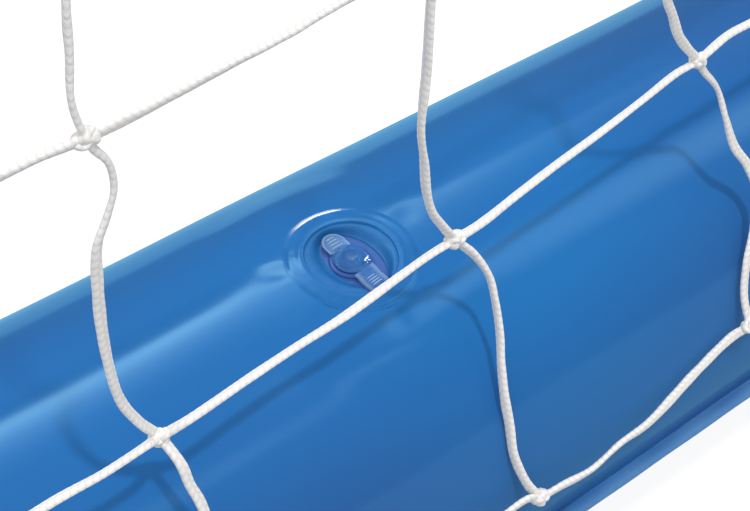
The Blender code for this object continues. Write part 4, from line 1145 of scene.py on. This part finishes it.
# Along the strap from the cap, in mm: how far out it is, and the height of its top and of its underside.
STRAP_OUT = (5.0, 5.8, 6.4, 6.9, 7.4, 7.9, 8.5, 10.0, 11.2, 11.6, 11.8)
STRAP_TOP = (-1.30, -1.30, -1.34, -1.50, -1.72, -1.92, -2.05, -2.10, -2.10, -2.16, -2.30)
STRAP_LOW = (-2.10, -2.10, -2.14, -2.30, -2.52, -2.72, -2.85, -2.90, -2.90, -2.88, -2.70)
# Across the strap: the share of its half width, and in mm how far its top stands up there.
STRAP_SHARE = (-1.0, -0.985, -0.93, -0.86, -0.5, 0.0, 0.5, 0.86, 0.93, 0.985, 1.0)
STRAP_EDGE = (-0.30, -0.04, 0.12, 0.0, 0.0, 0.0, 0.0, 0.0, 0.12, -0.04, -0.30)
# Two small braces at the strap's root, in mm: where each starts and ends, and half its width.
BRACES = (((1.7, -3.5), (4.5, -2.65), 0.30), ((2.6, -3.95), (4.0, -4.1), 0.18))
BRACE_FACE = np.array((0.261, -0.392, 0.882))


def valve_places():
    """Where each valve sits on its skin, its X along the skin and its Z outwards, and the skin's radius."""
    lean = math.radians(VALVE_LEAN)
    out = Vector((0.0, -math.cos(lean), math.sin(lean)))
    base = turned_to(out, (1.0, 0.0, 0.0), Vector((VALVE_X, 0.0, BASE_Z)) + out * BASE_R)
    places = [("base", base, BASE_R)]
    for name, side in (("left", -1), ("right", 1)):
        top = Vector((side * FLOAT_X, FLOAT_VALVE_Y, FLOAT_Z + FLOAT_R))
        places.append((name, turned_to((0.0, 0.0, 1.0), (0.0, side, 0.0), top), FLOAT_R))
    return places


def placed(matrix, x, y, z):
    """Points of the valve's own axes in the scene's."""
    turn = np.array(matrix.to_3x3())
    return np.stack(np.broadcast_arrays(x, y, z), -1) @ turn.T + np.array(matrix.translation)


def spun(profile, sides=72):
    """A profile turned once round, as x, y and height."""
    turn = np.linspace(0.0, 2.0 * math.pi, sides + 1)
    profile = np.array(profile) / 1000.0
    return profile[:, :1] * np.cos(turn), profile[:, :1] * np.sin(turn), profile[:, 1:] + 0.0 * turn


def foot_reach(turn):
    """How far the wall's foot stands from its middle: an oval, with room for the strap's square root."""
    along, across = np.sin(turn - VALVE_TURN), np.cos(turn - VALVE_TURN)
    oval = 1.0 / np.sqrt((along / OVAL_LONG) ** 2 + (across / OVAL_WIDE) ** 2)
    end = ROOT_END / np.maximum(-along, 0.001)
    side = np.where(across > 0.0, *ROOT_SIDES) / np.maximum(np.abs(across), 0.001)
    return np.maximum(oval, np.where(along < 0.0, np.minimum(end, side), 0.0))


def vinyl(name, colour, roughness, milk_and_highlight_colour=None, body=1.0):
    """Soft vinyl with faint flow marks in its gloss.

    It turns pale by a mark, which stands for clouded vinyl and also paints highlights along rims and edges,
    and is clear below a body of 1.
    """
    made, tree, shader = new_material(name)
    flow = noise(tree, 260.0, 2.0)
    shade = tinted(tree, colour, tuple(min(1.0, c * 1.18 + 0.01) for c in colour), flow)
    if milk_and_highlight_colour:
        shade = tinted(tree, shade, milk_and_highlight_colour, marked(tree, "milk_and_highlight"))
    tree.links.new(shade, shader.inputs["Base Color"])
    tree.links.new(maths(tree, "MULTIPLY_ADD", flow, 0.10, roughness), shader.inputs["Roughness"])
    bumpy(tree, maths(tree, "MULTIPLY", flow, 0.00006), shader)
    shader.inputs["IOR"].default_value = 1.46
    shader.inputs["Alpha"].default_value = body
    return made


ring_vinyl = vinyl("ring_vinyl", (0.012, 0.128, 0.380), 0.09)
wall_vinyl = vinyl("wall_vinyl", (0.008, 0.132, 0.385), 0.34)
floor_vinyl = vinyl("floor_vinyl", (0.032, 0.098, 0.345), 0.26)
# Its pale colour stands for clouded vinyl and for painted highlights along rims and edges.
clear_vinyl = vinyl("clear_vinyl", (0.034, 0.165, 0.500), 0.06, (0.56, 0.78, 0.94), 0.50)


def sagged(y, skin_r):
    """How far a valve's edge lies below its middle, as the skin does, less what its ring holds flat."""
    return (1.0 - FLATTER) * (np.sqrt(skin_r**2 - y**2) - skin_r)


def cap_and_tab(own, slant):
    """The cap with its plug, and the pull tab, as (grid, how pale, with a painted highlight along the tab's
    rim).
    """
    x, y, z = spun(CAP_PROFILE)
    rings = np.arange(len(CAP_PROFILE))
    milk_and_highlight = np.interp(rings, [0, 3, 4, 6, 7, 8, 9], [0.20, 0.06, 0.0, 0.0, 0.06, 0.22, 0.0])
    cap = placed(own, CAP_SHARE * x + CAP_ASIDE, CAP_SHARE * y + CAP_ASIDE, z)
    edge = np.radians(np.linspace(0.0, 180.0, 25))
    outline = [(TAB_HALF_WIDE * math.cos(t), TAB_ROUND_AT + TAB_HALF_WIDE * math.sin(t)) for t in edge]
    first, last = (TAB_HALF_WIDE, TAB_ROOT), (-TAB_HALF_WIDE, TAB_ROOT)
    outline = np.array([first, *outline, last, (0.0, TAB_ROOT - 0.0002), first])
    middle = np.array((0.0, TAB_MIDDLE))
    flat = middle + (outline - middle) * np.array(TAB_SHARE)[:, None, None]
    level = np.array(TAB_LEVEL)[:, None] / 1000.0
    tab = placed(slant, flat[..., 0], flat[..., 1] - 0.0003, level)
    # Painted highlight: the tab's rim is paler than its middle.
    tab_milk_and_highlight = np.interp(np.arange(len(TAB_SHARE)), [0, 3, 5, 7, 8], [0.20, 0.20, 0.62, 0.62, 0.20])
    return [(cap, milk_and_highlight[:, None]), (tab, tab_milk_and_highlight[:, None])]


def ribs(own, slant):
    """Four plain ribs on the tab, shorter as they go out, and four on the strap, as (grid, how pale)."""
    bar = np.linspace(-1.0, 1.0, 15)[:, None]
    arch = np.radians(np.linspace(0.0, 180.0, 7))
    swell = 1.0 - np.abs(bar) ** 6
    rise = RIB_HIGH * np.sin(arch) * swell * (0.75 + 0.25 * np.abs(np.sin(bar * 9.0)))
    aside = RIB_HALF_WIDE * np.cos(arch) * swell
    grids = []
    for row in range(4):
        wide = 0.0021 - 0.0002 * row
        grids.append(placed(slant, wide * bar, 0.0062 + 0.00115 * row + aside, rise - 0.00166))
    for row in range(4):
        grids.append(placed(own, 0.0019 * bar, aside - 0.0080 - 0.0009 * row, rise - 0.00210))
    return [(grid, 0.9) for grid in grids]


def braces(own):
    """The braces: bars with rounded edges that lie in one sloping plane, as (grid, how pale, which paints
    part of their glint).
    """
    steps = np.array([-1.0, -1.0, -0.96, -0.90, -0.82, 0.82, 0.90, 0.96, 1.0, 1.0])
    sunk = np.array([1.0, 0.3, 0.04, 0.0, 0.0, 0.0, 0.0, 0.04, 0.3, 1.0])
    deep = np.maximum(sunk[:, None], sunk)[..., None] * BRACE_DEEP * BRACE_FACE
    grids = []
    for start, end, wide in BRACES:
        start, end = np.array(start) / 1000.0, np.array(end) / 1000.0
        run = np.append(end - start, 0.0) / 2.0
        run[2] = -(run @ BRACE_FACE) / BRACE_FACE[2]
        side = np.cross(BRACE_FACE, run / np.linalg.norm(run)) * wide / 1000.0
        centre = np.append((start + end) / 2.0, CAP_TOP + 0.00012)
        points = centre + steps[:, None, None] * run + steps[None, :, None] * side - deep
        # Painted glint: the braces are a little pale, besides what the glint lamp shows on them.
        grids.append((placed(own, *np.moveaxis(points, -1, 0)), 0.3))
    return grids


def strap(own):
    """The strap: its top, its underside and its closed end, as (grid, how pale, with painted highlights along
    its edges).
    """
    run, over, below = (np.array(part)[:, None] / 1000.0 for part in (STRAP_OUT, STRAP_TOP, STRAP_LOW))
    across = STRAP_HALF_WIDE * np.array(STRAP_SHARE)
    top_face = np.stack(np.broadcast_arrays(across, -run, over + np.array(STRAP_EDGE) / 1000.0), -1)
    low_face = np.stack(np.broadcast_arrays(across, -run, below), -1)
    loop = np.concatenate((top_face, low_face[:, ::-1], top_face[:, :1]), axis=1)
    loop = np.concatenate((loop, loop[-1:].mean(1, keepdims=True) + 0.0 * loop[-1:]), axis=0)
    # Painted highlight: the strap's edges are paler than its middle.
    milk_and_highlight = np.where(np.abs(loop[..., 0]) > 0.0030, 0.40, 0.05)
    return [(placed(own, *np.moveaxis(loop, -1, 0)), milk_and_highlight)]


for name, matrix, skin_r in valve_places():
    stem_body = f"{name}_valve_stem"
    x, y, z = spun(RING_PROFILE, 96)
    ripple = 1.0 + 0.10 * np.sin(3.0 * np.arctan2(y, x) + 0.7)
    ring = placed(matrix, x, y, z * ripple + sagged(y, skin_r))
    flange = piece(f"valve_{name}_ring", [ring], ring_vinyl)
    weld_rings.objects.link(flange)
    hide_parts(f"valve_{name}_flange")

    turn = np.linspace(0.0, 2.0 * math.pi, 145)
    share = np.concatenate(([0.0], np.linspace(0.05, 1.0, 20)))[:, None]
    r = MOUTH_R + (foot_reach(turn) - MOUTH_R) * share
    drop = share**2 * (3.0 - 2.0 * share)
    x, y = r * np.cos(turn) + FOOT_ASIDE * share, r * np.sin(turn)
    mouth = MOUTH_Z - 0.00003 * np.sin(3.0 * turn + 0.7) + sagged(y, skin_r)
    creases = 0.00004 * np.sin(9.0 * turn + 3.0 * share) * np.sin(math.pi * share)
    z = mouth * (1.0 - drop) + FOOT_Z * drop + creases + 0.0007 * np.sin(math.pi * share) ** 2
    x, y, z = (np.concatenate((part, part[-1:])) for part in (x, y, z))
    z[-1] = FOOT_Z - 0.00045
    wall_top = placed(matrix, 0.0, 0.0, -0.0013)
    wall_foot = placed(matrix, 0.0, 0.0, -0.0029)
    membrane = piece(f"valve_{name}_wall", [placed(matrix, x, y, z)], wall_vinyl, body=None)
    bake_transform(membrane)
    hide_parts(f"valve_{name}_flange")

    # The floor's disc is drawn out and aside until it fits the oval of the wall's foot.
    x, y, z = spun(FLOOR_PROFILE)
    r = np.hypot(x, y)
    beyond = np.clip((r - STEM_R) / FLOOR_OUT, 0.0, 1.0)
    edge = foot_reach(np.arctan2(y, x)) + 0.0003
    fitted = 1.0 + beyond * (edge - STEM_R - FLOOR_OUT) / r
    grid = placed(matrix, x * fitted + FOOT_ASIDE * beyond, y * fitted, z)
    stem = piece(f"valve_{name}_floor", [grid], floor_vinyl, body=stem_body)
    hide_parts(f"valve_{name}_stem")

    own = matrix @ Matrix.Rotation(VALVE_TURN, 4, "Z")
    slant = matrix @ Matrix.Rotation(TAB_TURN, 4, "Z")
    parts = cap_and_tab(own, slant) + ribs(own, slant) + braces(own) + strap(own)
    grids = [grid for grid, milk_and_highlight in parts]
    milk_and_highlight = [milk_and_highlight + np.zeros(grid.shape[:2]) for grid, milk_and_highlight in parts]
    # The mark stands for clouded vinyl, and paints highlights along the rims and edges.
    plug = piece(f"valve_{name}_stopper", grids, clear_vinyl, body=f"{name}_valve_plug", marks={"milk_and_highlight": milk_and_highlight})
    clear_parts.objects.link(plug)
    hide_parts(f"valve_{name}_plug")
    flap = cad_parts[f"valve_{name}_flap"]
    flap.material_slots[0].material = clear_vinyl
